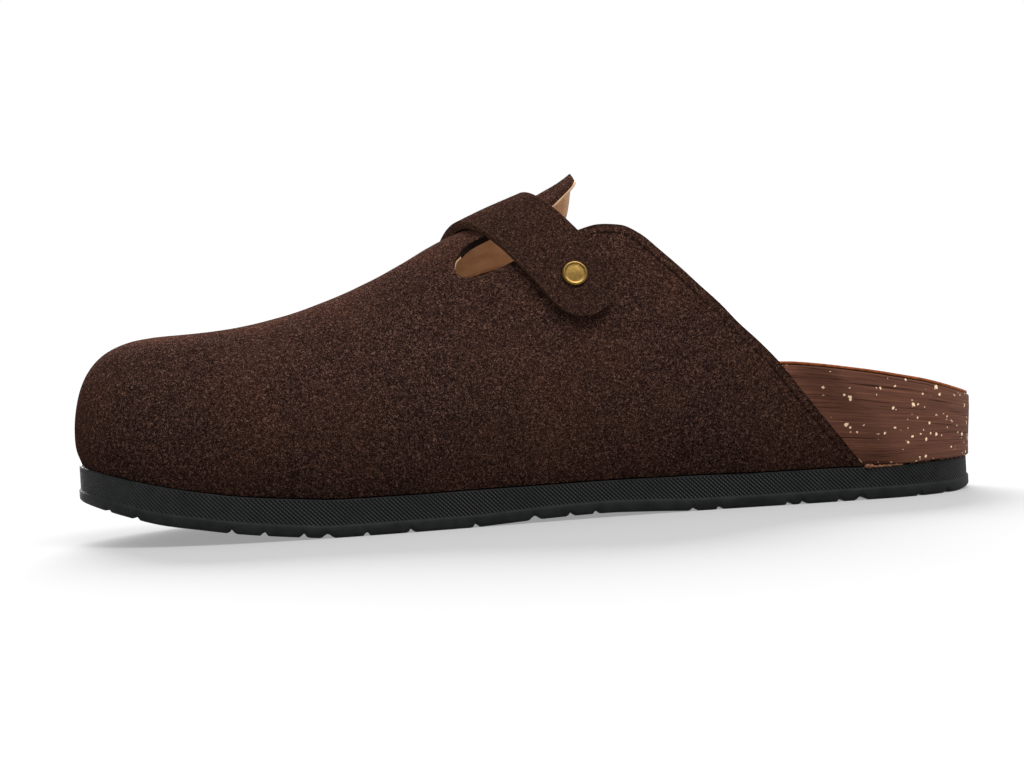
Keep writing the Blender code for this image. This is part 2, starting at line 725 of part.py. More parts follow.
def make_strap(tree, collection):
    """Sweep the strap's rounded section over the instep from tab to tab."""
    over = STRAP_LIFT + STRAP_THICKNESS
    section = (
        (-1, STRAP_ROUND, STRAP_LIFT), (-0.5, 0, STRAP_LIFT), (0, 0, STRAP_LIFT), (0.5, 0, STRAP_LIFT),
        (1, STRAP_ROUND, STRAP_LIFT), (1, 0, STRAP_LIFT + STRAP_ROUND), (1, 0, over - STRAP_ROUND),
        (1, STRAP_ROUND, over), (0.5, 0, over), (0, 0, over), (-0.5, 0, over), (-1, STRAP_ROUND, over),
        (-1, 0, over - STRAP_ROUND), (-1, 0, STRAP_LIFT + STRAP_ROUND),
    )
    stations = strap_stations()
    points = []
    for distance in stations:
        place, heading, normal = strap_centre(tree, distance)
        heading = heading if distance >= 0 else -heading
        sideways = heading.cross(normal)
        half = strap_half_width(distance)
        for across, inset, lift in section:
            reach = max(abs(across) * half - min(inset, 0.5 * half), 0.0)
            direction = sideways if across >= 0 else -sideways
            if reach > 0:
                spot, _, spot_normal = walk(tree, place, direction, reach)
            else:
                spot, spot_normal = place, normal
            points.append(spot + spot_normal * lift)
    around = len(section)
    faces = []
    for i in range(len(stations) - 1):
        for j in range(around):
            nxt = (j + 1) % around
            a, b = i * around + j, i * around + nxt
            faces.append((a, b, b + around, a + around))
    faces.append(tuple(range(around))[::-1])
    last = (len(stations) - 1) * around
    faces.append(tuple(last + j for j in range(around)))
    return mesh_object("strap", points, faces, collection)


def make_rivet(name, hand, tree, collection):
    """Turn a low rivet cap that sits on the strap's tab."""
    place, heading, normal = strap_centre(tree, hand * (STRAP_REACH[hand] - RIVET_FROM_END))
    foot = place + normal * (STRAP_LIFT + STRAP_THICKNESS + GAP)
    across = heading.cross(normal)
    profile = (
        (RIVET_RADIUS, 0.0),
        (RIVET_RADIUS, RIVET_HEIGHT - RIVET_ROUND),
        (RIVET_RADIUS - 0.3 * RIVET_ROUND, RIVET_HEIGHT - 0.3 * RIVET_ROUND),
        (RIVET_RADIUS - RIVET_ROUND, RIVET_HEIGHT),
    )
    points = []
    for radius, lift in profile:
        for i in range(RIVET_SIDES):
            angle = 2 * math.pi * i / RIVET_SIDES
            spoke = heading * math.cos(angle) + across * math.sin(angle)
            points.append(foot + spoke * radius + normal * lift)
    faces = [tuple(range(RIVET_SIDES))]
    for ring in range(len(profile) - 1):
        for i in range(RIVET_SIDES):
            a, b = ring * RIVET_SIDES + i, ring * RIVET_SIDES + (i + 1) % RIVET_SIDES
            faces.append((a, a + RIVET_SIDES, b + RIVET_SIDES, b))
    last = (len(profile) - 1) * RIVET_SIDES
    faces.append(tuple(last + i for i in range(RIVET_SIDES))[::-1])
    return mesh_object(name, points, faces, collection)


def face_outward(made):
    """Turn the faces of a closed sub-part outward."""
    mesh = made.data
    volume = 0.0
    for polygon in mesh.polygons:
        first = mesh.vertices[polygon.vertices[0]].co
        for i in range(1, len(polygon.vertices) - 1):
            second = mesh.vertices[polygon.vertices[i]].co
            third = mesh.vertices[polygon.vertices[i + 1]].co
            volume += first.dot(second.cross(third))
    if volume < 0:
        mesh.flip_normals()


def main():
    """Clear the scene and build every sub-part."""
    for old in list(bpy.data.objects):
        bpy.data.objects.remove(old, do_unlink=True)
    collection = bpy.data.collections.new(OBJECT_NAME)
    bpy.context.scene.collection.children.link(collection)
    tree = cloth_tree()
    closed = [
        make_outsole(collection),
        make_footbed(collection),
        make_insole(collection),
        make_strap(tree, collection),
        make_rivet("rivet_medial", MEDIAL, tree, collection),
        make_rivet("rivet_lateral", LATERAL, tree, collection),
    ]
    for made in closed:
        face_outward(made)
    make_upper(collection)


main()
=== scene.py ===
"""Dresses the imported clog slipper: suede, lining, cork-blend bed, foam-rubber sole and brass rivets.

Shoe sizes are millimetres. "along" runs from the back of the heel to the toe, "side" to the medial
edge (positive) or the lateral edge (negative) and "up" is the height over the floor.
"""

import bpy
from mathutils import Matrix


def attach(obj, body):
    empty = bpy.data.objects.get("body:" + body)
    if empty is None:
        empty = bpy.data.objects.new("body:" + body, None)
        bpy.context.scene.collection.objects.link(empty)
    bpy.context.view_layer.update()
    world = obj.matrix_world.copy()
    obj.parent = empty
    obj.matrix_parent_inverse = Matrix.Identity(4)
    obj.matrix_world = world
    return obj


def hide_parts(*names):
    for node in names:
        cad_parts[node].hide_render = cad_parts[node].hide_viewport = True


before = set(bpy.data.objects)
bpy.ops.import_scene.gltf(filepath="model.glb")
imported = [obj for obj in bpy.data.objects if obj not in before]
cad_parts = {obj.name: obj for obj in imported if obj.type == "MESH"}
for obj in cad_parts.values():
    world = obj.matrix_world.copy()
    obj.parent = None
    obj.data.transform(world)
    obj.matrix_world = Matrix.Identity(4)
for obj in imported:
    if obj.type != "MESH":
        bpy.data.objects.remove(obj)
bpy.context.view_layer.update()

import logging
import math
import random
from collections.abc import Callable, Sequence
from dataclasses import dataclass, field
from enum import Enum

import bmesh
import bpy
import numpy as np
from mathutils import Matrix, Vector, noise
from mathutils.bvhtree import BVHTree

LOG = logging.getLogger("clog_slipper")
MM = 0.001
MERGE = 0.02 * MM
Pairs = tuple[tuple[float, float], ...]


class Hand(Enum):
    """The two long sides of the shoe."""

    MEDIAL = 1
    LATERAL = -1


class Facing(Enum):
    """Which way the faces of a mapped grid look."""

    AS_MADE = 1
    TURNED = -1


def linear(hex_colour: str) -> tuple[float, float, float, float]:
    """Turn an sRGB hex colour into linear values with alpha.

    Args:
        hex_colour: six hex digits.

    Returns:
        Linear red, green and blue, and alpha 1.
    """
    values = []
    for start in (0, 2, 4):
        value = int(hex_colour[start:start + 2], 16) / 255.0
        values.append(value / 12.92 if value <= 0.04045 else ((value + 0.055) / 1.055) ** 2.4)
    return (values[0], values[1], values[2], 1.0)


def read(pairs: Pairs, along: np.ndarray) -> np.ndarray:
    """Read a table of pairs smoothly and without overshoot.

    Args:
        pairs: distances along the shoe, each with its value.
        along: the distances to read it at.

    Returns:
        The value at each distance, held beyond the table's ends.
    """
    xs, ys = (np.array(column, float) for column in zip(*pairs))
    steps = np.diff(ys) / np.diff(xs)
    tangents = np.concatenate([steps[:1], np.zeros(len(xs) - 2), steps[-1:]])
    same = steps[:-1] * steps[1:] > 0
    tangents[1:-1][same] = 2 * (steps[:-1] * steps[1:])[same] / (steps[:-1] + steps[1:])[same]
    at = np.clip(np.atleast_1d(np.asarray(along, float)), xs[0], xs[-1])
    index = np.clip(np.searchsorted(xs, at, side="right") - 1, 0, len(xs) - 2)
    span = xs[index + 1] - xs[index]
    t = (at - xs[index]) / span
    start = ys[index] * (2 * t**3 - 3 * t**2 + 1) + tangents[index] * span * (t**3 - 2 * t**2 + t)
    end = ys[index + 1] * (3 * t**2 - 2 * t**3) + tangents[index + 1] * span * (t**3 - t**2)
    return start + end


def read_one(pairs: Pairs, along: float) -> float:
    """Read a table of pairs at one distance."""
    return float(read(pairs, np.array([along]))[0])


def ease(value: float) -> float:
    """Ease from 0 to 1 as the value goes from 0 to 1."""
    value = min(max(value, 0.0), 1.0)
    return value * value * (3 - 2 * value)


def mapped_grid(place: np.ndarray, facing: Facing, keep: Callable[[float, float], bool] | None = None,
                closed: bool = False) -> bmesh.types.BMesh:
    """Make a grid and carry each of its points to its place on the shoe.

    Args:
        place: points in millimetres, by column and row.
        facing: whether the faces are turned over.
        keep: says from a face's column and row whether it stays; all stay without it.
        closed: whether coinciding points are merged, which closes seams and poles.

    Returns:
        The grid in metres in the row frame, with a UV map "surface" whose units are columns and rows.
    """
    columns, rows = place.shape[0] - 1, place.shape[1] - 1
    bm = bmesh.new()
    bmesh.ops.create_grid(bm, x_segments=columns, y_segments=rows, size=1.0)
    spots = {v: ((v.co.x + 1) / 2 * columns, (v.co.y + 1) / 2 * rows) for v in bm.verts}
    uv = bm.loops.layers.uv.new("surface")
    gone = []
    for face in bm.faces:
        for loop in face.loops:
            loop[uv].uv = spots[loop.vert]
        column = sum(spots[v][0] for v in face.verts) / len(face.verts)
        row = sum(spots[v][1] for v in face.verts) / len(face.verts)
        if keep is not None and not keep(column, row):
            gone.append(face)
    for v, (column, row) in spots.items():
        v.co = Vector(place[round(column), round(row)]) * MM
    bmesh.ops.delete(bm, geom=gone, context="FACES")
    if closed:
        bmesh.ops.remove_doubles(bm, verts=bm.verts, dist=MERGE)
    if facing is Facing.TURNED:
        bmesh.ops.reverse_faces(bm, faces=bm.faces)
    return bm


def finished_piece(name: str, bm: bmesh.types.BMesh, materials: Sequence[bpy.types.Material]) -> bpy.types.Object:
    """Turn a mesh into a smooth piece that rides on the shoe.

    Args:
        name: the piece's name.
        bm: its mesh in the row frame, freed here.
        materials: its material slots in order.

    Returns:
        The new object.
    """
    mesh = bpy.data.meshes.new(name)
    bm.to_mesh(mesh)
    bm.free()
    for polygon in mesh.polygons:
        polygon.use_smooth = True
    for material in materials:
        mesh.materials.append(material)
    piece = bpy.data.objects.new(name, mesh)
    bpy.context.scene.collection.objects.link(piece)
    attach(piece, "root")
    return piece


def add_node(tree: bpy.types.NodeTree, kind: str, settings: dict | None = None,
             inputs: dict | None = None) -> bpy.types.Node:
    """Add a shader node with its settings, values and links.

    Args:
        tree: the node tree.
        kind: the node's type name without the ShaderNode prefix.
        settings: attributes of the node.
        inputs: values or output sockets by input name or index.

    Returns:
        The new node.
    """
    node = tree.nodes.new("ShaderNode" + kind)
    for name, value in (settings or {}).items():
        setattr(node, name, value)
    for name, value in (inputs or {}).items():
        if isinstance(value, bpy.types.NodeSocket):
            tree.links.new(value, node.inputs[name])
        else:
            node.inputs[name].default_value = value
    return node


def add_ramp(tree: bpy.types.NodeTree, factor: bpy.types.NodeSocket,
             stops: Sequence[tuple[float, str]]) -> bpy.types.NodeSocket:
    """Add a colour ramp.

    Args:
        tree: the node tree.
        factor: the socket that drives it.
        stops: positions with their hex colours, low to high.

    Returns:
        The ramp's colour socket.
    """
    ramp = add_node(tree, "ValToRGB", inputs={"Fac": factor})
    elements = ramp.color_ramp.elements
    while len(elements) < len(stops):
        elements.new(0.5)
    for element, (position, colour) in zip(elements, stops):
        element.position = position
        element.color = linear(colour)
    return ramp.outputs["Color"]


def start_material(name: str, roughness: float, metallic: float = 0.0) -> tuple:
    """Start a material with its principled shader.

    Args:
        name: the finish's name.
        roughness: its base roughness.
        metallic: 1 for a metal.

    Returns:
        The material, its node tree and its shader node.
    """
    material = bpy.data.materials.new(name)
    material.use_nodes = True
    tree = material.node_tree
    shader = tree.nodes["Principled BSDF"]
    shader.inputs["Roughness"].default_value = roughness
    shader.inputs["Metallic"].default_value = metallic
    return material, tree, shader


@dataclass(frozen=True)
class BrushedSuede:
    """Cow suede, buffed and dyed: short fibres lie every way and break the light into fine squiggles.

    The real fibres are finer. They are drawn as coarse as the picture needs to show them.
    """

    name: str
    valley: str = "0D0706"
    body: str = "261815"
    crown: str = "37251E"
    tip: str = "77584A"
    warm_patch: str = "36211A"
    red_patch: str = "211617"
    fibre_mm: float = 0.62
    patch_mm: float = 26.0
    patch_share: float = 0.3
    bump_mm: float = 0.4
    stitch_inset_mm: float = 2.7
    stitch_pitch_mm: float = 2.6
    pit_reach_mm: float = 0.42
    pit_painted_shade: float = 0.6
    worn_mm: tuple[float, float] = (0.2, 1.3)
    worn_shade: float = 0.4
    lower_shade_heights_mm: tuple[float, float] = (14.0, 52.0)
    lower_shade_tones: tuple[float, float] = (0.64, 1.03)

    def nap(self, tree: bpy.types.NodeTree, spot: bpy.types.NodeSocket) -> tuple:
        """Mix fibres of two sizes.

        Args:
            tree: the node tree.
            spot: the place in metres.

        Returns:
            Sockets with the fibres' height and their colour.
        """
        long_fibres = add_node(tree, "TexNoise", inputs={
            "Vector": spot, "Scale": 1.0 / (self.fibre_mm * MM), "Detail": 2.0,
            "Roughness": 0.6, "Distortion": 1.4})
        short_fibres = add_node(tree, "TexNoise", inputs={
            "Vector": spot, "Scale": 2.6 / (self.fibre_mm * MM), "Detail": 1.0, "Distortion": 0.8})
        height = add_node(tree, "Mix", {"data_type": "FLOAT"}, {
            0: 0.35, 2: long_fibres.outputs["Fac"], 3: short_fibres.outputs["Fac"]}).outputs[0]
        colour = add_ramp(tree, height, (
            (0.41, self.valley), (0.48, self.body), (0.54, self.crown), (0.63, self.tip)))
        return height, colour

    def seam(self, tree: bpy.types.NodeTree) -> tuple:
        """Find the needle pits along the open back's edge and the worn edge itself.

        Args:
            tree: the node tree.

        Returns:
            Sockets with 1 in a pit and 1 at the worn edge.
        """
        inward = add_node(tree, "Attribute", {"attribute_name": "from_edge"}).outputs["Fac"]
        along = add_node(tree, "Attribute", {"attribute_name": "run"}).outputs["Fac"]
        off_row = add_node(tree, "Math", {"operation": "COMPARE"}, {
            0: inward, 1: self.stitch_inset_mm, 2: self.pit_reach_mm}).outputs["Value"]
        dash = add_node(tree, "Math", {"operation": "PINGPONG"}, {
            0: along, 1: self.stitch_pitch_mm / 2}).outputs["Value"]
        hole = add_node(tree, "Math", {"operation": "LESS_THAN"}, {
            0: dash, 1: 0.3 * self.stitch_pitch_mm}).outputs["Value"]
        pit = add_node(tree, "Math", {"operation": "MULTIPLY"}, {0: off_row, 1: hole}).outputs["Value"]
        worn = add_node(tree, "MapRange", {"clamp": True}, {
            "Value": inward, "From Min": self.worn_mm[0], "From Max": self.worn_mm[1],
            "To Min": 1.0, "To Max": 0.0})
        return pit, worn.outputs["Result"]

    def make(self) -> bpy.types.Material:
        """Mix the nap's colours and its relief.

        Returns:
            The material.
        """
        material, tree, shader = start_material(self.name, 0.97)
        spot = add_node(tree, "TexCoord").outputs["Object"]
        height, colour = self.nap(tree, spot)
        patches = add_node(tree, "TexNoise", inputs={
            "Vector": spot, "Scale": 1.0 / (self.patch_mm * MM), "Detail": 2.0, "Roughness": 0.5})
        tone = add_ramp(tree, patches.outputs["Fac"], ((0.38, self.red_patch), (0.64, self.warm_patch)))
        mixed = add_node(tree, "Mix", {"data_type": "RGBA"}, {
            0: self.patch_share, 6: colour, 7: tone}).outputs[2]
        pit, worn = self.seam(tree)
        # The needle pits are darkened as painted shade in their hollows; the band at the edge is darkened as
        # wear.
        for mask, shade in ((pit, self.pit_painted_shade), (worn, self.worn_shade)):
            share = add_node(tree, "Math", {"operation": "MULTIPLY"}, {0: mask, 1: shade}).outputs["Value"]
            mixed = add_node(tree, "Mix", {"data_type": "RGBA"}, {
                0: share, 6: mixed, 7: linear(self.valley)}).outputs[2]
        # Painted shade: the suede is darker towards the bottom, down to 0.64 of its colour at 14 mm, and a touch
        # lighter over 52 mm, for the low sides that get less light.
        up = add_node(tree, "SeparateXYZ", inputs={"Vector": spot}).outputs["Z"]
        (low, high), (dim, full) = self.lower_shade_heights_mm, self.lower_shade_tones
        painted_lower_shade = add_node(tree, "MapRange", {"clamp": True}, {
            "Value": up, "From Min": low * MM, "From Max": high * MM, "To Min": dim, "To Max": full})
        toned = add_node(tree, "VectorMath", {"operation": "SCALE"}, {
            0: mixed, "Scale": painted_lower_shade.outputs["Result"]})
        tree.links.new(toned.outputs["Vector"], shader.inputs["Base Color"])
        sunk = add_node(tree, "Math", {"operation": "SUBTRACT"}, {0: height, 1: pit}).outputs["Value"]
        bump = add_node(tree, "Bump", inputs={
            "Strength": 0.9, "Distance": self.bump_mm * MM, "Height": sunk})
        tree.links.new(bump.outputs["Normal"], shader.inputs["Normal"])
        shader.inputs["Specular IOR Level"].default_value = 0.0
        return material


@dataclass(frozen=True)
class SplitLeatherLining:
    """Undyed split leather, shaved smooth: matt tan with soft clouds and faint fibres."""

    name: str
    dark: str = "A88A6C"
    light: str = "C2A688"
    cloud_mm: float = 9.0
    fibre_mm: float = 0.7

    def make(self) -> bpy.types.Material:
        """Mix soft clouds and a faint fibre relief.

        Returns:
            The material.
        """
        material, tree, shader = start_material(self.name, 0.85)
        spot = add_node(tree, "TexCoord").outputs["Object"]
        clouds = add_node(tree, "TexNoise", inputs={
            "Vector": spot, "Scale": 1.0 / (self.cloud_mm * MM), "Detail": 4.0, "Roughness": 0.6})
        fibres = add_node(tree, "TexNoise", inputs={
            "Vector": spot, "Scale": 1.0 / (self.fibre_mm * MM), "Detail": 2.0})
        colour = add_ramp(tree, clouds.outputs["Fac"], ((0.35, self.dark), (0.65, self.light)))
        tree.links.new(colour, shader.inputs["Base Color"])
        bump = add_node(tree, "Bump", inputs={
            "Strength": 0.25, "Distance": 0.0002, "Height": fibres.outputs["Fac"]})
        tree.links.new(bump.outputs["Normal"], shader.inputs["Normal"])
        shader.inputs["Specular IOR Level"].default_value = 0.25
        return material


@dataclass(frozen=True)
class CorkBlend:
    """Brown-dyed cork blend, sanded: fine saw lines that follow the rim, pale flecks toward the heel."""

    name: str
    line_dark: str = "2E1912"
    body: str = "5A392D"
    line_light: str = "744B39"
    fleck: str = "EED2AC"
    line_mm: float = 0.55
    line_length_mm: float = 30.0
    side_mm: float = 26.0
    side_rows: float = 8.0
    fleck_sizes: tuple = ((7.0, 0.12, 0.5), (3.6, 0.15, 0.8), (2.0, 0.2, 0.66))
    fewer_flecks_mm: tuple[float, float] = (-135.0, -85.0)
    fewest: float = 0.45

    def flecks(self, tree: bpy.types.NodeTree, spot: bpy.types.NodeSocket) -> bpy.types.NodeSocket:
        """Scatter ragged flecks of three sizes.

        Args:
            tree: the node tree.
            spot: the place in metres.

        Returns:
            A socket with 1 inside a fleck.
        """
        back = add_node(tree, "SeparateXYZ", inputs={"Vector": spot}).outputs["X"]
        dense_to, sparse_from = self.fewer_flecks_mm
        dense = add_node(tree, "MapRange", {"clamp": True}, {
            "Value": back, "From Min": dense_to * MM, "From Max": sparse_from * MM,
            "To Min": 1.0, "To Max": self.fewest})
        shown = None
        for cell_mm, reach, chance in self.fleck_sizes:
            ragged = add_node(tree, "TexNoise", inputs={
                "Vector": spot, "Scale": 3.2 / (cell_mm * MM), "Detail": 2.0, "Roughness": 0.7})
            centred = add_node(tree, "VectorMath", {"operation": "SUBTRACT"}, {
                0: ragged.outputs["Color"], 1: (0.5, 0.5, 0.5)})
            push = 0.5 * cell_mm * MM
            pushed = add_node(tree, "VectorMath", {"operation": "MULTIPLY_ADD"}, {
                0: centred.outputs["Vector"], 1: (push, push, push), 2: spot})
            cells = add_node(tree, "TexVoronoi", inputs={
                "Vector": pushed.outputs["Vector"], "Scale": 1.0 / (cell_mm * MM)})
            parts = add_node(tree, "SeparateColor", inputs={"Color": cells.outputs["Color"]})
            kept = add_node(tree, "Math", {"operation": "LESS_THAN"}, {
                0: parts.outputs["Red"],
                1: add_node(tree, "Math", {"operation": "MULTIPLY"}, {
                    0: dense.outputs["Result"], 1: chance}).outputs["Value"]})
            size = add_node(tree, "Math", {"operation": "MULTIPLY_ADD"}, {
                0: parts.outputs["Green"], 1: reach, 2: 0.35 * reach})
            near = add_node(tree, "Math", {"operation": "LESS_THAN"}, {
                0: cells.outputs["Distance"], 1: size.outputs["Value"]})
            fleck = add_node(tree, "Math", {"operation": "MULTIPLY"}, {
                0: kept.outputs["Value"], 1: near.outputs["Value"]}).outputs["Value"]
            shown = fleck if shown is None else add_node(tree, "Math", {"operation": "MAXIMUM"}, {
                0: shown, 1: fleck}).outputs["Value"]
        return shown

    def make(self) -> bpy.types.Material:
        """Mix the saw lines, the flecks and a rough relief.

        Returns:
            The material.
        """
        material, tree, shader = start_material(self.name, 0.85)
        spot = add_node(tree, "TexCoord").outputs["Object"]
        place = add_node(tree, "SeparateXYZ", inputs={"Vector": spot})
        rows = add_node(tree, "SeparateXYZ", inputs={
            "Vector": add_node(tree, "UVMap", {"uv_map": "surface"}).outputs["UV"]}).outputs["Y"]
        level = add_node(tree, "Math", {"operation": "MULTIPLY"}, {
            0: rows, 1: self.side_mm / self.side_rows / self.line_mm}).outputs["Value"]
        length = 1.0 / (self.line_length_mm * MM)
        drawn = {axis: add_node(tree, "Math", {"operation": "MULTIPLY"}, {
            0: place.outputs[axis], 1: length}).outputs["Value"] for axis in "XY"}
        flat = add_node(tree, "CombineXYZ", inputs={**drawn, "Z": level})
        lines = add_node(tree, "TexNoise", inputs={
            "Vector": flat.outputs["Vector"], "Scale": 1.0, "Detail": 4.0, "Roughness": 0.75})
        wood = add_ramp(tree, lines.outputs["Fac"], (
            (0.36, self.line_dark), (0.44, self.body), (0.53, self.body), (0.66, self.line_light)))
        fleck = self.flecks(tree, spot)
        mixed = add_node(tree, "Mix", {"data_type": "RGBA"}, {0: fleck, 6: wood, 7: linear(self.fleck)})
        tree.links.new(mixed.outputs[2], shader.inputs["Base Color"])
        bump = add_node(tree, "Bump", inputs={
            "Strength": 0.6, "Distance": 0.00025, "Height": lines.outputs["Fac"]})
        tree.links.new(bump.outputs["Normal"], shader.inputs["Normal"])
        shader.inputs["Specular IOR Level"].default_value = 0.12
        return material


@dataclass(frozen=True)
class MouldedFoamRubber:
    """Black foam rubber, moulded: a dull skin, with slanting ribs cut across in the mould on its wall."""

    name: str
    low: str = "0F1010"
    high: str = "1D1E1E"
    rib: str = "4A4B4B"
    groove: str = "030404"
    rib_spacing_mm: float = 1.3
    cut_spacing_mm: float = 1.3
    hatched: bool = True
    cut_share: float = 0.35
    patch_strength: tuple[float, float] = (0.45, 1.0)
    clear_to_mm: float = 75.0
    faint_from_mm: float = 125.0
    faintest: float = 0.3

    def wave(self, tree: bpy.types.NodeTree, parts: bpy.types.Node, operation: str,
             spacing_mm: float) -> bpy.types.NodeSocket:
        """Make ridges that slant one way on the wall.

        Args:
            tree: the node tree.
            parts: a node that gives millimetres round and up the wall as X and Y.
            operation: ADD or SUBTRACT, for the way that they slant.
            spacing_mm: the distance from ridge to ridge.

        Returns:
            A socket that runs from 0 in a groove to 1 on a ridge.
        """
        slanted = add_node(tree, "Math", {"operation": operation}, {
            0: parts.outputs["X"], 1: parts.outputs["Y"]}).outputs["Value"]
        rise = add_node(tree, "Math", {"operation": "PINGPONG"}, {0: slanted, 1: spacing_mm / 2})
        return add_node(tree, "Math", {"operation": "DIVIDE"}, {
            0: rise.outputs["Value"], 1: spacing_mm / 2}).outputs["Value"]

    def make(self) -> bpy.types.Material:
        """Mix the dull skin with the ribs and the cuts across them.

        Returns:
            The material.
        """
        material, tree, shader = start_material(self.name, 0.7)
        spot = add_node(tree, "TexCoord").outputs["Object"]
        skin = add_node(tree, "TexNoise", inputs={"Vector": spot, "Scale": 260.0, "Detail": 4.0})
        colour = add_ramp(tree, skin.outputs["Fac"], ((0.3, self.low), (0.75, self.high)))
        relief = add_node(tree, "Bump", inputs={
            "Strength": 0.2, "Distance": 0.00015, "Height": skin.outputs["Fac"]})
        normal = relief.outputs["Normal"]
        if self.hatched:
            wall = add_node(tree, "UVMap", {"uv_map": "wall"})
            parts = add_node(tree, "SeparateXYZ", inputs={"Vector": wall.outputs["UV"]})
            ribs = self.wave(tree, parts, "SUBTRACT", self.rib_spacing_mm)
            cuts = self.wave(tree, parts, "ADD", self.cut_spacing_mm)
            crossed = add_node(tree, "Math", {"operation": "MULTIPLY_ADD"}, {
                0: cuts, 1: self.cut_share, 2: 1 - self.cut_share})
            height = add_node(tree, "Math", {"operation": "MULTIPLY"}, {
                0: ribs, 1: crossed.outputs["Value"]}).outputs["Value"]
            patchy = add_node(tree, "TexNoise", inputs={"Vector": spot, "Scale": 45.0, "Detail": 2.0})
            clear = add_node(tree, "MapRange", {"clamp": True}, {
                "Value": patchy.outputs["Fac"], "From Min": 0.35, "From Max": 0.6,
                "To Min": self.patch_strength[0], "To Max": self.patch_strength[1]}).outputs["Result"]
            from_middle = add_node(tree, "Math", {"operation": "ABSOLUTE"}, {
                0: add_node(tree, "SeparateXYZ", inputs={"Vector": spot}).outputs["X"]}).outputs["Value"]
            inner = add_node(tree, "MapRange", {"clamp": True}, {
                "Value": from_middle, "From Min": self.clear_to_mm * MM, "From Max": self.faint_from_mm * MM,
                "To Min": 1.0, "To Max": self.faintest}).outputs["Result"]
            strength = add_node(tree, "Math", {"operation": "MULTIPLY"}, {0: clear, 1: inner})
            # Painted highlight and shade: on the one black rubber, the ribs are coloured lighter and the grooves
            # darker according to the relief's height.
            tone = add_ramp(tree, height, ((0.2, self.groove), (0.5, self.low), (0.9, self.rib)))
            colour = add_node(tree, "Mix", {"data_type": "RGBA"}, {
                0: strength.outputs["Value"], 6: colour, 7: tone}).outputs[2]
            normal = add_node(tree, "Bump", inputs={
                "Strength": 0.9, "Distance": 0.0005, "Height": height, "Normal": normal}).outputs["Normal"]
        tree.links.new(colour, shader.inputs["Base Color"])
        tree.links.new(normal, shader.inputs["Normal"])
        shader.inputs["Specular IOR Level"].default_value = 0.15
        return material


@dataclass(frozen=True)
class TurnedBrass:
    """Brass, turned and lacquered: a warm satin face with tarnish clouds."""

    name: str
    bright: str = "7F6638"
    dull: str = "6A5229"

    def make(self) -> bpy.types.Material:
        """Mix tarnish clouds into a satin metal.

        Returns:
            The material.
        """
        material, tree, shader = start_material(self.name, 0.34, 1.0)
        spot = add_node(tree, "TexCoord").outputs["Object"]
        clouds = add_node(tree, "TexNoise", inputs={
            "Vector": spot, "Scale": 700.0, "Detail": 4.0, "Roughness": 0.65})
        colour = add_ramp(tree, clouds.outputs["Fac"], ((0.35, self.dull), (0.6, self.bright)))
        tree.links.new(colour, shader.inputs["Base Color"])
        bump = add_node(tree, "Bump", inputs={
            "Strength": 0.2, "Distance": 0.00008, "Height": clouds.outputs["Fac"]})
        tree.links.new(bump.outputs["Normal"], shader.inputs["Normal"])
        return material


@dataclass(frozen=True)
class PlainStuff:
    """A small plain stuff, such as waxed thread or dried glue: one tone with a fine mottle."""

    name: str
    dark: str
    light: str
    roughness: float = 0.8
    mottle_mm: float = 0.6

    def make(self) -> bpy.types.Material:
        """Mix two tones and a fine relief.

        Returns:
            The material.
        """
        material, tree, shader = start_material(self.name, self.roughness)
        spot = add_node(tree, "TexCoord").outputs["Object"]
        mottle = add_node(tree, "TexNoise", inputs={
            "Vector": spot, "Scale": 1.0 / (self.mottle_mm * MM), "Detail": 3.0})
        colour = add_ramp(tree, mottle.outputs["Fac"], ((0.35, self.dark), (0.65, self.light)))
        tree.links.new(colour, shader.inputs["Base Color"])
        bump = add_node(tree, "Bump", inputs={
            "Strength": 0.4, "Distance": 0.0001, "Height": mottle.outputs["Fac"]})
        tree.links.new(bump.outputs["Normal"], shader.inputs["Normal"])
        shader.inputs["Specular IOR Level"].default_value = 0.08
        return material


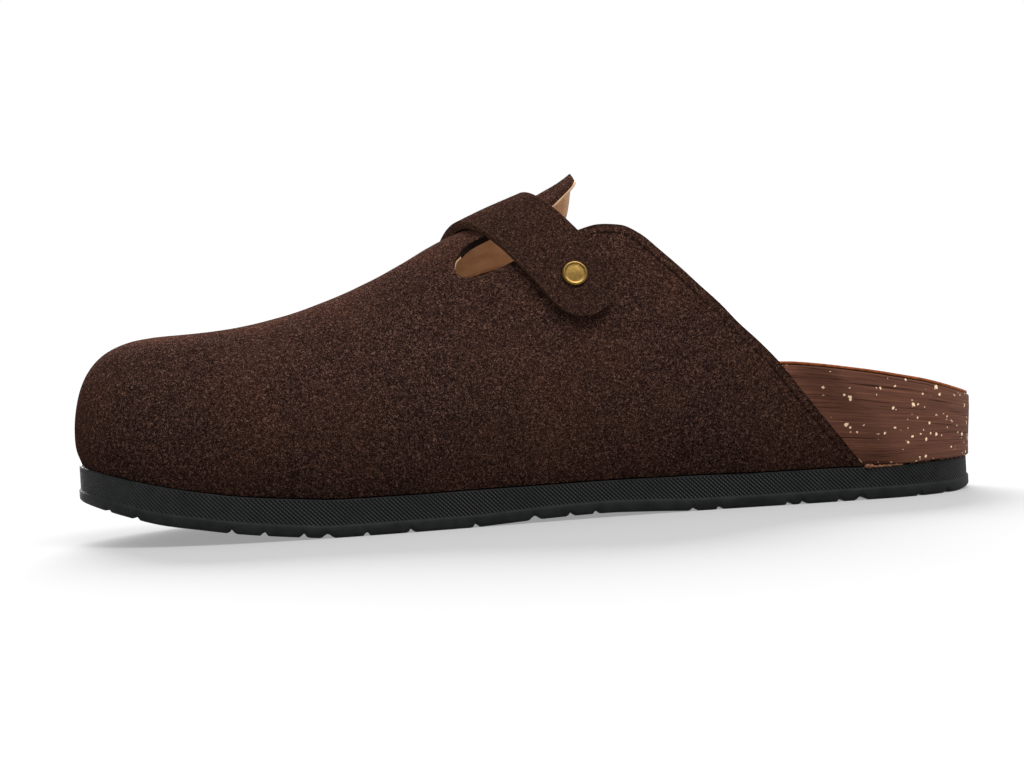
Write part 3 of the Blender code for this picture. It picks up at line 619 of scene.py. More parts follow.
@dataclass
class Last:
    """The shoe's lines, which every piece is drawn from: plan, sole faces, rim, floor and ridge."""

    middle_along: float = 143.2
    middle_side: float = 0.1
    heel_back: float = 2.2
    heel_centre: float = 39.0
    heel_side: float = 1.0
    heel_power: float = 2.1
    toe_tip: float = 285.4
    toe_side: float = 9.0
    toe_start: dict = field(default_factory=lambda: {Hand.MEDIAL: 215.0, Hand.LATERAL: 190.0})
    toe_power: dict = field(default_factory=lambda: {Hand.MEDIAL: 2.6, Hand.LATERAL: 2.2})
    edge: dict = field(default_factory=lambda: {
        Hand.MEDIAL: ((39, 37.0), (60, 37.9), (85, 37.5), (110, 38.7), (135, 42.0), (160, 46.5),
                      (190, 51.5), (205, 53.0), (215, 53.25)),
        Hand.LATERAL: ((39, -35.0), (60, -38.0), (85, -41.8), (110, -45.5), (135, -49.0),
                       (160, -51.8), (190, -53.25), (205, -53.25), (215, -53.25))})
    sole_top: Pairs = ((2.2, 10.3), (20, 10.5), (37, 10.0), (50, 10.6), (70, 10.6), (95, 11.0),
                       (125, 11.4), (187, 11.5), (206, 11.6), (218, 12.5), (236, 14.3), (248, 16.2),
                       (260, 18.5), (272, 21.3), (285.4, 24.8))
    sole_bottom: Pairs = ((2.2, 0.9), (10, 0.0), (92, 0.0), (108, 0.7), (125, 1.3), (142, 1.0),
                          (158, 0.3), (166, 0.0), (208, 0.0), (218, 0.8), (236, 2.8), (248, 4.7),
                          (260, 6.7), (272, 9.9), (285.4, 13.8))
    rim: dict = field(default_factory=lambda: {
        Hand.MEDIAL: ((0, 30.5), (6, 32.5), (15, 35.0), (28, 38.1), (42, 41.1), (64, 44.4),
                      (85, 45.3), (105, 44.0), (130, 39.0), (160, 32.0), (190, 28.0),
                      (220, 27.5), (250, 30.5), (286, 38.0)),
        Hand.LATERAL: ((0, 29.0), (6, 30.6), (15, 32.8), (28, 35.4), (42, 38.0), (64, 40.6),
                       (85, 41.0), (105, 38.7), (130, 33.0), (160, 29.0), (190, 27.0),
                       (220, 27.5), (250, 30.5), (286, 38.0))})
    floor: Pairs = ((3, 26.5), (15, 24.3), (36, 22.5), (60, 24.0), (90, 27.0), (120, 26.5),
                    (150, 24.0), (180, 21.5), (205, 21.0), (230, 23.0), (250, 26.0), (286, 35.0))
    ridge_side: Pairs = ((40, 3.0), (60, 4.0), (90, 5.5), (110, 6.0), (126, 6.5), (142, 7.0),
                         (168, 7.0), (181, 7.5), (194, 8.0), (207, 8.5), (220, 9.0), (245, 9.0))
    ridge_up: Pairs = ((40, 115.0), (60, 115.0), (90, 113.0), (110, 110.0), (126, 105.6),
                       (142, 98.3), (155, 93.2), (168, 88.0), (181, 81.3), (194, 75.4),
                       (207, 70.7), (220, 66.7), (232, 64.4), (245, 63.0))
    power: dict = field(default_factory=lambda: {
        Hand.MEDIAL: ((40, 2.1), (60, 2.05), (110, 2.05), (126, 2.1), (155, 2.1), (168, 2.15),
                      (181, 2.2), (194, 2.3), (207, 2.45), (220, 2.65), (232, 3.2), (245, 3.75)),
        Hand.LATERAL: ((40, 2.0), (60, 1.95), (90, 1.85), (110, 1.8), (142, 1.8), (155, 1.85),
                       (168, 1.9), (181, 2.0), (194, 2.1), (207, 2.25), (220, 2.55), (232, 3.1),
                       (245, 3.75))})
    wing: dict = field(default_factory=lambda: {
        Hand.MEDIAL: ((42.5, 11.2), (45.1, 14.4), (49.5, 20.3), (55.4, 28.3), (61.2, 36.3),
                      (67, 44.6), (72.9, 51.4), (78.8, 57.5), (83.8, 63.5), (89.7, 69.6),
                      (95.6, 75.8), (101.6, 81.7), (106.8, 86.6), (112.8, 89.8), (119.1, 90.4),
                      (126.4, 88.9), (136, 85.2), (147, 80.4), (157, 76.7), (161, 76.0),
                      (164.2, 76.9)),
        Hand.LATERAL: ((42.5, 11.2), (45.5, 14.2), (50, 19.8), (56, 27.6), (62, 34.3),
                       (68, 41.8), (74, 48.6), (80, 55.0), (86, 61.0), (92, 67.0), (98, 72.6),
                       (104, 77.6), (109, 81.0), (114.5, 83.2), (120, 83.4), (128, 81.4),
                       (137, 77.6), (147, 73.4), (157, 70.4), (162.4, 70.0), (164.2, 71.8))})
    wing_end: float = 42.5
    setback: float = 0.3
    toe_setback: float = 1.2
    gap: float = 0.3
    bulge: float = 1.2
    toe_bulge: float = 1.9
    bulge_height: float = 13.0
    toe_bulge_height: float = 9.0
    fan_start: float = 200.0
    fan_pole: float = 245.0
    fan_power: float = 2.2
    samples: int = 120

    def centred(self, points: np.ndarray) -> np.ndarray:
        """Move points so that the shoe's middle is at the frame's origin."""
        return np.asarray(points, float) - (self.middle_along, self.middle_side, 0.0)

    def plan(self, hand: Hand, along: float, out: float = 0.0) -> np.ndarray:
        """Find a point of the sole's outline.

        Args:
            hand: the side of the shoe.
            along: the distance from the heel.
            out: how far the point is moved outward, square to the outline.

        Returns:
            The point's along and side.
        """
        along = min(max(along, self.heel_back), self.toe_tip)
        if along < self.heel_centre:
            reach, centre, power, way = (
                self.heel_centre - self.heel_back, self.heel_side, self.heel_power, -1)
            width = abs(read_one(self.edge[hand], self.heel_centre) - centre)
            part = (self.heel_centre - along) / reach
        elif along > self.toe_start[hand]:
            reach, centre, power, way = (
                self.toe_tip - self.toe_start[hand], self.toe_side, self.toe_power[hand], 1)
            width = abs(read_one(self.edge[hand], self.toe_start[hand]) - centre)
            part = (along - self.toe_start[hand]) / reach
        else:
            side, before, after = read(self.edge[hand], np.array([along, along - 0.5, along + 0.5]))
            normal = np.array([-hand.value * (after - before), hand.value])
            return np.array([along, side]) + out * normal / np.linalg.norm(normal)
        across = max(1 - part ** power, 0.0) ** (1 / power)
        normal = np.array([way * part ** (power - 1) / reach,
                           hand.value * across ** (power - 1) / width])
        normal /= np.linalg.norm(normal)
        return np.array([along, centre + hand.value * width * across]) + out * normal

    def outline(self, count: int, bunched: float = 0.0) -> list[tuple[Hand, float, float]]:
        """Spread stations evenly round the sole's outline.

        Args:
            count: how many stations.
            bunched: a distance from the heel behind which stations are twice as close; 0 for none.

        Returns:
            For each station its hand, its distance from the heel and its length round the outline.
        """
        turn = np.linspace(0.0, math.pi / 2, 160)
        stations = []
        for hand in (Hand.MEDIAL, Hand.LATERAL):
            heel = self.heel_centre - (self.heel_centre - self.heel_back) * np.cos(turn) ** 0.9
            reach = self.toe_tip - self.toe_start[hand]
            toe = self.toe_start[hand] + reach * np.sin(turn) ** (2 / self.toe_power[hand])
            alongs = np.concatenate([heel[:-1], np.linspace(heel[-1], toe[0], 200)[:-1], toe])
            if hand is Hand.LATERAL:
                alongs = alongs[::-1]
            stations += [(hand, float(along)) for along in alongs]
        points = np.array([self.plan(hand, along) for hand, along in stations])
        steps = np.linalg.norm(np.diff(points, axis=0), axis=1)
        middles = 0.5 * (points[1:, 0] + points[:-1, 0])
        weights = steps * np.where(middles < bunched, 2.0, 1.0)
        lengths = np.concatenate([[0.0], np.cumsum(steps)])
        shares = np.concatenate([[0.0], np.cumsum(weights)]) / weights.sum()
        half = len(stations) // 2
        spread = []
        for share in np.linspace(0.0, 1.0, count):
            place = float(np.interp(share, shares, np.arange(len(stations))))
            low = min(int(place), len(stations) - 2)
            hand = stations[low][0] if place < half - 0.5 or low >= half else Hand.LATERAL
            along = float(np.interp(place, (low, low + 1), (stations[low][1], stations[low + 1][1])))
            spread.append((hand, along, float(np.interp(place, (low, low + 1), lengths[low:low + 2]))))
        return spread

    def base_setback(self, along: float) -> float:
        """Set the upper's lower edge back from the plan, further at the toe."""
        toe = max(0.0, (along - self.fan_start) / (self.toe_tip - self.fan_start))
        return self.setback + self.toe_setback * toe ** 2

    def fan_base(self, hand: Hand, share: float) -> np.ndarray:
        """Walk round the toe's outline.

        Args:
            hand: the side of the shoe.
            share: how much of the toe's outline is walked, from 0 at the fan's start to 1 at the tip.

        Returns:
            The along and side reached.
        """
        turn = np.linspace(0.0, math.pi / 2, 200)
        reach = self.toe_tip - self.toe_start[hand]
        ends = self.toe_start[hand] + reach * np.sin(turn) ** (2 / self.toe_power[hand])
        alongs = np.concatenate([np.linspace(self.fan_start, self.toe_start[hand], 30)[:-1], ends])
        alongs = alongs[alongs >= self.fan_start]
        points = np.array([self.plan(hand, along, -self.base_setback(along)) for along in alongs])
        lengths = np.concatenate([[0.0], np.cumsum(np.linalg.norm(np.diff(points, axis=0), axis=1))])
        wanted = share * lengths[-1]
        return np.array([np.interp(wanted, lengths, points[:, k]) for k in range(2)])

    def fan_ridge(self, share: float) -> float:
        """Place the ridge end of a toe section for a share of the toe's outline."""
        return self.fan_start + (self.fan_pole - self.fan_start) * (1 - (1 - share) ** self.fan_power)

    def section(self, hand: Hand, base: np.ndarray, ridge: float, toe_share: float = 0.0) -> np.ndarray:
        """Run one section of the upper from its base to the ridge.

        Args:
            hand: the side of the shoe.
            base: along and side of its lower end.
            ridge: the distance from the heel of its upper end.
            toe_share: 0 on the sides, 1 at the toe's tip, for the bulge over the sole.

        Returns:
            Closely spaced points of the section.
        """
        angles = np.linspace(0.0, math.pi / 2, self.samples)
        power = read_one(self.power[hand], ridge)
        low = read_one(self.sole_top, base[0]) + self.gap
        crest = np.array([ridge, read_one(self.ridge_side, ridge)])
        outward = (base - crest) / np.linalg.norm(base - crest)
        height = (read_one(self.ridge_up, ridge) - low) * np.sin(angles) ** (2 / power)
        part = height / (self.bulge_height + (self.toe_bulge_height - self.bulge_height) * toe_share)
        swell = (self.bulge + (self.toe_bulge - self.bulge) * toe_share) * part * np.exp(1 - part)
        plan = crest + np.outer(np.cos(angles) ** (2 / power), base - crest) + np.outer(swell, outward)
        return np.column_stack([plan, low + height])

    def square_section(self, hand: Hand, along: float) -> np.ndarray:
        """Run a section of the upper that stands square to the shoe's length."""
        return self.section(hand, self.plan(hand, along, -self.setback), along)


@dataclass
class Studio:
    """The pale floor, the soft lights and the camera at the photo's angle to the shoe."""

    azimuth: float = 175.0
    elevation: float = 2.0
    distance: float = 1.0
    roll: float = 3.28
    lens: float = 110.1
    aim: tuple[float, float, float] = (0.0040, 0.0, 0.04135)
    floor_radius: float = 30.0
    floor_glow: float = 0.31
    front_wall: float = 0.36
    softbox_spread: float = 36.0
    back_strength: float = 16.4
    front_strength: float = 2.9

    def lay_floor(self) -> bpy.types.Object:
        """Lay a large pale floor that isn't part of the shoe.

        Returns:
            The floor.
        """
        bm = bmesh.new()
        bmesh.ops.create_circle(bm, cap_ends=True, segments=96, radius=self.floor_radius)
        mesh = bpy.data.meshes.new("studio_floor")
        bm.to_mesh(mesh)
        bm.free()
        # Opal acrylic on a light table, sanded matt: its own glow keeps the soft shadow pale.
        material, tree, shader = start_material("sanded_opal_acrylic", 0.95)
        spot = add_node(tree, "TexCoord").outputs["Object"]
        fibre = add_node(tree, "TexNoise", inputs={"Vector": spot, "Scale": 900.0, "Detail": 2.0})
        tone = add_ramp(tree, fibre.outputs["Fac"], ((0.2, "7B7B7B"), (0.8, "7D7D7D")))
        tree.links.new(tone, shader.inputs["Base Color"])
        shader.inputs["Specular IOR Level"].default_value = 0.0
        shader.inputs["Emission Color"].default_value = (1.0, 1.0, 1.0, 1.0)
        shader.inputs["Emission Strength"].default_value = self.floor_glow
        mesh.materials.append(material)
        floor = bpy.data.objects.new("studio_floor", mesh)
        bpy.context.scene.collection.objects.link(floor)
        return floor

    def hang_light(self, name: str, towards: tuple[float, float, float], strength: float) -> None:
        """Hang a wide, far softbox whose light is even over the whole floor.

        Args:
            name: the light's name.
            towards: the direction from the shoe to the light.
            strength: its strength in watts per square metre.
        """
        data = bpy.data.lights.new(name, "SUN")
        data.angle = math.radians(self.softbox_spread)
        data.energy = strength
        light = bpy.data.objects.new(name, data)
        light.rotation_mode = "QUATERNION"
        light.rotation_quaternion = Vector(towards).to_track_quat("Z", "Y")
        bpy.context.scene.collection.objects.link(light)

    def light(self) -> None:
        """Set the white room, greyer before the shoe, the low light behind it and the front light."""
        world = bpy.data.worlds.new("white_studio")
        world.use_nodes = True
        tree = world.node_tree
        way = add_node(tree, "SeparateXYZ", inputs={
            "Vector": add_node(tree, "TexCoord").outputs["Generated"]})
        nearer = add_node(tree, "MapRange", {"clamp": True}, {
            "Value": way.outputs["Y"], "From Min": 0.05, "From Max": 0.6,
            "To Min": 1.0, "To Max": self.front_wall}).outputs["Result"]
        higher = add_node(tree, "MapRange", {"clamp": True}, {
            "Value": way.outputs["Z"], "From Min": 0.3, "From Max": 0.9,
            "To Min": 0.0, "To Max": 1.0}).outputs["Result"]
        shade = add_node(tree, "Math", {"operation": "MAXIMUM"}, {0: nearer, 1: higher}).outputs["Value"]
        background = tree.nodes["Background"]
        background.inputs["Color"].default_value = (1.0, 1.0, 1.0, 1.0)
        tree.links.new(shade, background.inputs["Strength"])
        bpy.context.scene.world = world
        self.hang_light("back_softbox", (0.05, -0.92, 0.39), self.back_strength)
        self.hang_light("front_softbox", (-0.22, 0.42, 0.88), self.front_strength)

    def place_camera(self) -> None:
        """Set the camera at the photo's angle, rolled as the photo is."""
        turn, rise, roll = (math.radians(a) for a in (self.azimuth, self.elevation, self.roll))
        back = Vector((math.sin(turn) * math.cos(rise), -math.cos(turn) * math.cos(rise), math.sin(rise)))
        right = Vector((0, 0, 1)).cross(back).normalized()
        upward = back.cross(right)
        rolled_right = right * math.cos(roll) - upward * math.sin(roll)
        rolled_up = upward * math.cos(roll) + right * math.sin(roll)
        data = bpy.data.cameras.new("photo_camera")
        data.lens = self.lens
        data.clip_start = 0.05
        camera = bpy.data.objects.new("photo_camera", data)
        turned = Matrix((rolled_right, rolled_up, back)).transposed().to_4x4()
        camera.matrix_world = Matrix.Translation(Vector(self.aim) + back * self.distance) @ turned
        bpy.context.scene.collection.objects.link(camera)
        bpy.context.scene.camera = camera
        bpy.context.scene.view_settings.view_transform = "Standard"


@dataclass
class Outsole:
    """The foam-rubber outsole: notched tread, plain lower band, step and crosshatched wall."""

    last: Last
    grooves: tuple[float, ...] = (14, 24, 50, 62, 66.5, 88, 96.3, 126.7, 134.8, 164.5, 184.5, 198, 217.2,
                                  229, 238.8, 267.6, 276.3)
    wide_grooves: tuple[float, ...] = (43.4, 146.0, 210.0)
    groove_half_width: float = 1.2
    wide_half_width: float = 2.3
    groove_depth: float = 1.3
    chamfer: float = 1.0
    band_top: float = 3.4
    step: float = 0.5
    top_round: float = 0.5
    first_hatched: int = 9
    last_hatched: int = 14
    stations: int = 860

    def lift(self, along: float) -> float:
        """Find how far the tread is lifted by the nearest notch.

        Args:
            along: the distance from the heel.

        Returns:
            The lift in millimetres.
        """
        nearest = min(abs(along - groove) / self.groove_half_width for groove in self.grooves)
        wide = min(abs(along - groove) / self.wide_half_width for groove in self.wide_grooves)
        return self.groove_depth * (1 - ease(min(nearest, wide)))

    def build(self) -> bmesh.types.BMesh:
        """Run the sole's edge round the outline and close it below and above.

        Returns:
            The sole as a closed mesh with a UV map "wall" in millimetres round and up the wall.
        """
        stations = self.last.outline(self.stations)
        place = []
        for hand, along, _ in stations:
            low = read_one(self.last.sole_bottom, along)
            top = read_one(self.last.sole_top, along)
            lift = self.lift(along)
            middle = 0.5 * (self.last.plan(Hand.MEDIAL, along) + self.last.plan(Hand.LATERAL, along))
            step = -self.step
            rows = (
                (-2.5, low + lift), (-self.chamfer, low + lift),
                (-0.45 * self.chamfer, low + 0.25 * self.chamfer + lift),
                (-0.1 * self.chamfer, low + 0.65 * self.chamfer + lift),
                (0.0, low + self.chamfer + lift), (0.0, low + 0.6 * self.band_top + 0.5 * lift),
                (0.0, low + self.band_top - 0.15), (-0.1, low + self.band_top),
                (step + 0.05, low + self.band_top + 0.45), (step, low + self.band_top + 0.7),
                (step, 0.67 * (low + self.band_top) + 0.33 * top),
                (step, 0.34 * (low + self.band_top) + 0.66 * top),
                (step, top - 1.2), (step, top - self.top_round),
                (step - 0.15 * self.top_round, top - 0.15), (step - 0.6 * self.top_round, top - 0.02),
                (step - self.top_round, top), (step - 3.0, top),
            )
            edge = [(*self.last.plan(hand, along, out), up) for out, up in rows]
            place.append([(*middle, low + lift), *edge, (*middle, top)])
        place[-1] = place[0]
        place = np.array(place)
        bm = mapped_grid(self.last.centred(place), Facing.AS_MADE)
        surface = bm.loops.layers.uv["surface"]
        wall = bm.loops.layers.uv.new("wall")
        for face in bm.faces:
            for loop in face.loops:
                column, row = (round(value) for value in loop[surface].uv)
                loop[wall].uv = (stations[column][2], place[column, row, 2])
            rows = [round(loop[surface].uv[1]) for loop in face.loops]
            face.material_index = int(min(rows) >= self.first_hatched and max(rows) <= self.last_hatched)
        bmesh.ops.remove_doubles(bm, verts=bm.verts, dist=MERGE)
        bmesh.ops.recalc_face_normals(bm, faces=bm.faces)
        return bm

    def dress(self) -> bpy.types.Object:
        """Make the outsole in its two skins.

        Returns:
            The piece.
        """
        plain = MouldedFoamRubber("moulded_foam_rubber_plain", hatched=False).make()
        hatched = MouldedFoamRubber("moulded_foam_rubber_crosshatched").make()
        piece = finished_piece("outsole_dressed", self.build(), (plain, hatched))
        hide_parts("outsole")
        return piece


@dataclass
class Bed:
    """The cork-blend footbed with its raised rim and bowl, and the suede liner over it."""

    last: Last
    wall: float = 2.4
    clearance: float = 0.7
    liner: float = 0.8
    outset: float = 0.4
    flare: float = 1.1
    rim_width: float = 2.6
    rim_round: float = 0.6
    cover_lead: float = 16.0
    cover_length: float = 14.0
    bowl_power: float = 2.4
    heel_blend: float = 22.0
    spine: Pairs = ((2.2, 38.0), (60.0, 60.0), (225.0, 225.0), (285.4, 250.0))
    spine_step: float = 3.0
    stations: int = 420
    bunched: float = 70.0
    fans: int = 60
    wing_foot: int = 8
    liner_from: int = 14

    def __post_init__(self) -> None:
        """Keep sections of the upper round the toe for quick reading."""
        self.toe = {hand: [self.last.section(hand, self.last.fan_base(hand, share),
                                             self.last.fan_ridge(share), share)
                           for share in np.linspace(0.0, 1.0, self.fans)] for hand in Hand}

    def outer_side(self, hand: Hand, along: float) -> Callable[[float], float]:
        """Measure the upper over one station.

        Args:
            hand: the side of the shoe.
            along: the distance from the heel.

        Returns:
            A function from height to how far the upper's outer face stands out from the plan.
        """
        if along <= self.last.fan_start:
            track = self.last.square_section(hand, along)
        else:
            track = min(self.toe[hand], key=lambda section: abs(section[0, 0] - along))
        outward = self.last.plan(hand, along, 1.0) - self.last.plan(hand, along)

        def at(up: float) -> float:
            """Measure at one height."""
            plan = np.array([np.interp(up, track[:, 2], track[:, k]) for k in range(2)])
            return float(np.dot(plan - track[0, :2], outward)) - self.last.base_setback(along)

        return at

    def rows(self, hand: Hand, along: float) -> np.ndarray:
        """Draw the footbed's section at one station.

        Args:
            hand: the side of the shoe.
            along: the distance from the heel.

        Returns:
            Points from under its middle, round its edge and down into the bowl.
        """
        low = read_one(self.last.sole_top, along) + self.last.gap
        both = [read_one(self.last.rim[side], along) for side in (hand, Hand(-hand.value))]
        apart = ease((along - self.last.heel_back) / self.heel_blend)
        rim = 0.5 * sum(both) + 0.5 * (both[0] - both[1]) * apart - self.liner - self.last.gap
        outer = self.outer_side(hand, along)
        alongs, ups = zip(*self.last.wing[hand][:self.wing_foot])

        def side(up: float) -> float:
            """Find how far the bed's side stands out from the plan, bare or under the upper."""
            bare = self.outset + self.flare * ease((up - low) / (rim - low))
            edge = float(np.interp(up, ups, alongs))
            cover = ease((along - (edge - self.cover_lead)) / self.cover_length)
            return bare + (outer(up) - self.wall - self.clearance - bare) * cover

        # Both sides end on the same few places of the spine, so that they close there.
        near = float(np.interp(along, *zip(*self.spine)))
        spine_along = self.spine_step * round(near / self.spine_step)
        plan = self.last.plan
        spine = 0.5 * (plan(Hand.MEDIAL, spine_along) + plan(Hand.LATERAL, spine_along))
        points = [(*spine, read_one(self.last.sole_top, spine_along) + self.last.gap),
                  (*plan(hand, along, side(low) - 1.0), low),
                  (*plan(hand, along, side(low) - 0.15), low + 0.1)]
        for up in np.linspace(low + 0.4, rim - self.rim_round, 9):
            points.append((*plan(hand, along, side(up)), up))
        edge = side(rim)
        for turn in (0.35, 0.7, 1.0):
            points.append((*plan(hand, along, edge - self.rim_round * turn ** 2),
                           rim - self.rim_round * (1 - turn) ** 2))
        inner = plan(hand, along, edge - self.rim_width)
        points.append((*plan(hand, along, edge - 0.6 * self.rim_width), rim))
        points.append((*inner, rim - 0.3 * self.rim_round))
        drop = rim - read_one(self.last.floor, inner[0])
        for share in (0.05, 0.12, 0.2, 0.3, 0.42, 0.56, 0.72, 0.88, 1.0):
            spot = inner + (spine - inner) * share
            up = read_one(self.last.floor, spot[0]) + drop * (1 - share) ** self.bowl_power
            points.append((*spot, up))
        return np.array(points)

    def surface(self) -> np.ndarray:
        """Gather the rows of every station round the outline.

        Returns:
            Points by station and row; the last station repeats the first.
        """
        stations = self.last.outline(self.stations, self.bunched)
        place = np.array([self.rows(hand, along) for hand, along, _ in stations])
        place[-1] = place[0]
        return self.last.centred(place)

    def dress(self) -> list[bpy.types.Object]:
        """Make the footbed and its liner.

        Returns:
            Both pieces.
        """
        place = self.surface()
        cork = CorkBlend("sanded_brown_cork_blend").make()
        bm = mapped_grid(place, Facing.AS_MADE, closed=True)
        bmesh.ops.recalc_face_normals(bm, faces=bm.faces)
        bed = finished_piece("footbed_dressed", bm, (cork,))
        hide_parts("footbed")
        top = SplitLeatherLining("brushed_liner_suede", "805840", "8F6549", cloud_mm=14.0).make()
        edge = PlainStuff("cut_liner_edge", "6E3A20", "95532E", mottle_mm=1.2).make()
        sheet = mapped_grid(place[:, self.liner_from:], Facing.AS_MADE, closed=True)
        bmesh.ops.recalc_face_normals(sheet, faces=sheet.faces)
        liner = finished_piece("insole_dressed", sheet, (top, edge))
        lift = liner.modifiers.new("lift", "DISPLACE")
        lift.direction = "Z"
        lift.mid_level = 0.0
        lift.strength = self.last.gap * MM
        wall = liner.modifiers.new("thickness", "SOLIDIFY")
        wall.thickness = self.liner * MM
        wall.offset = 1.0
        wall.material_offset_rim = 1
        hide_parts("insole")
        return [bed, liner]


@dataclass
class Upper:
    """The suede upper with its tan lining: wall, tongue, two slots and the open back."""

    last: Last
    suede: float = 1.5
    lining: float = 0.8
    between: float = 0.05
    slot_front: float = 163.2
    slot_reach: float = 2.3
    slot_columns: int = 6
    wing_rows: int = 34
    slot_rows: int = 8
    tongue_rows: int = 16
    spread_length: float = 60.0
    wing_even_from: float = 100.0
    tongue_tip: float = 125.7
    tip_round: float = 6.0
    corner_draw: float = 0.35
    corner_columns: int = 6
    tip_lift: float = 1.3
    tip_columns: int = 3
    tongue_curl: float = 1.4
    curl_length: float = 12.0
    shaded_from: float = 146.0
    swells: tuple = ((22.0, 0.28), (7.0, 0.07))
    tongue: dict = field(default_factory=lambda: {
        Hand.MEDIAL: ((125.7, 102.4), (129, 100.2), (133, 97.2), (141, 93.0), (148.7, 89.6),
                      (155, 87.8), (160.5, 86.0), (164.2, 82.9)),
        Hand.LATERAL: ((125.7, 91.5), (129, 88.2), (133, 85.2), (141, 81.4), (148, 79.0),
                       (156, 77.4), (161, 76.6), (164.2, 75.2))})

    def __post_init__(self) -> None:
        """Lay out the columns and work out both sides once."""
        end, tip, front = self.last.wing_end, self.tongue_tip, self.slot_front
        wing = end + (self.wing_even_from - end) * np.linspace(0, 1, 38) ** 1.15
        rear = np.concatenate([wing, np.linspace(self.wing_even_from, tip, 20)[1:]])
        self.tongue_start = len(rear) - 1
        slot = tip + (front - tip) * np.sin(np.linspace(0, math.pi / 2, 30))[1:]
        self.slot_start = self.tongue_start + len(slot)
        ahead = np.linspace(front, self.last.fan_start, 20)[1:-1]
        self.columns = np.concatenate([rear, slot, ahead])
        self.rows = self.wing_rows + self.slot_rows + self.tongue_rows
        self.fans = [(share, self.last.fan_ridge(share)) for share in np.linspace(0.0, 1.0, 60)]
        self.sides = {hand: self.side_rows(hand) for hand in Hand}

    def side_rows(self, hand: Hand) -> np.ndarray:
        """Work out the points of one side.

        Args:
            hand: the side of the shoe.

        Returns:
            Points by column, from the rear to the toe, and by row, from the base to the ridge.
        """
        tracks = [(along, self.last.square_section(hand, along)) for along in self.columns]
        for share, ridge in self.fans:
            base = self.last.fan_base(hand, share)
            tracks.append((self.last.fan_start + 1 + share, self.last.section(hand, base, ridge, share)))
        columns = []
        front = (0.0, 0.0)
        for along, track in tracks:
            lengths = np.concatenate([[0.0], np.cumsum(np.linalg.norm(np.diff(track, axis=0), axis=1))])
            if along <= self.slot_front + 1e-6:
                edges = [read_one(table[hand], along) for table in (self.last.wing, self.tongue)]
                front = tuple(float(np.interp(up, track[:, 2], lengths)) / lengths[-1] for up in edges)
                shares = front
            else:
                spread = ease((track[0, 0] - self.slot_front) / self.spread_length)
                even = (self.wing_rows / self.rows, 1 - self.tongue_rows / self.rows)
                shares = tuple(f + (e - f) * spread for f, e in zip(front, even))
            marks = np.concatenate([
                np.linspace(0.0, shares[0], self.wing_rows + 1),
                np.linspace(shares[0], shares[1], self.slot_rows + 1)[1:],
                np.linspace(shares[1], 1.0, self.tongue_rows + 1)[1:]])
            columns.append([[np.interp(m * lengths[-1], lengths, track[:, k]) for k in range(3)]
                            for m in marks])
        points = np.array(columns)
        self.round_tip(points)
        self.round_slot(points)
        return points

    def topline(self, hand: Hand) -> np.ndarray:
        """Run the open back's edge over the outer face.

        Args:
            hand: the side of the shoe.

        Returns:
            Closely spaced points from the lower end to the tongue's tip.
        """
        points = []
        for along in np.linspace(self.last.wing_end + 0.1, self.tongue_tip - 0.2, 260):
            track = self.last.square_section(hand, along)
            up = read_one(self.last.wing[hand], along)
            points.append([np.interp(up, track[:, 2], track[:, k]) for k in range(2)] + [up])
        return self.last.centred(np.array(points))

    def mark_edge(self, mesh: bpy.types.Mesh) -> None:
        """Store each vertex's distance from the open back's edge and its place along it, in mm.

        Args:
            mesh: the outer face, which takes the attributes.
        """
        places = np.array([v.co for v in mesh.vertices]) / MM
        nearest = np.full(len(places), np.inf)
        run = np.zeros(len(places))
        for hand in Hand:
            edge = self.topline(hand)
            lengths = np.concatenate([[0.0], np.cumsum(np.linalg.norm(np.diff(edge, axis=0), axis=1))])
            gaps = np.linalg.norm(places[:, None] - edge[None], axis=2)
            closest = gaps.argmin(axis=1)
            distance = gaps[np.arange(len(places)), closest]
            better = distance < nearest
            nearest[better] = distance[better]
            run[better] = lengths[closest[better]]
        for name, values in (("from_edge", nearest), ("run", run)):
            mesh.attributes.new(name, "FLOAT", "POINT").data.foreach_set("value", values)

    def round_tip(self, points: np.ndarray) -> None:
        """Draw the tongue's corners forward and turn its tip up, so that it ends in a round nose.

        Args:
            points: one side's points, moved here.
        """
        first = self.wing_rows + self.slot_rows
        end = points[self.tongue_start, first:]
        inward = np.concatenate([[0.0], np.cumsum(np.linalg.norm(np.diff(end, axis=0), axis=1))])
        ahead = points[self.tongue_start + self.corner_columns, first:] - end
        ahead /= np.linalg.norm(ahead, axis=1)[:, None]
        for row, (gap, heading) in enumerate(zip(inward, ahead)):
            short = max(0.0, self.tip_round - gap)
            draw = self.corner_draw * (self.tip_round - math.sqrt(self.tip_round ** 2 - short ** 2))
            for step in range(self.corner_columns):
                share = 1 - step / self.corner_columns
                points[self.tongue_start + step, first + row] += heading * draw * share
            for step in range(self.tip_columns):
                lift = self.tip_lift * (1 - step / self.tip_columns) ** 2
                points[self.tongue_start + step, first + row, 2] += lift

    def lift_tongue(self, place: np.ndarray) -> None:
        """Curl the tongue's long edges up a little, so that they stand proud of the upper.

        Args:
            place: the outer face's points, moved here.
        """
        outward = np.cross(np.gradient(place, axis=1), np.gradient(place, axis=0))
        outward /= np.linalg.norm(outward, axis=2)[:, :, None] + 1e-9
        for row in range(place.shape[1]):
            inward = min(row, 2 * self.rows - row) - self.wing_rows - self.slot_rows
            if inward >= 0:
                curl = self.tongue_curl * (1 - ease(inward / (0.5 * self.tongue_rows)))
                for column in range(self.tongue_start, self.slot_start):
                    away = ease((self.slot_front - self.columns[column]) / self.curl_length)
                    place[column, row] += outward[column, row] * curl * away

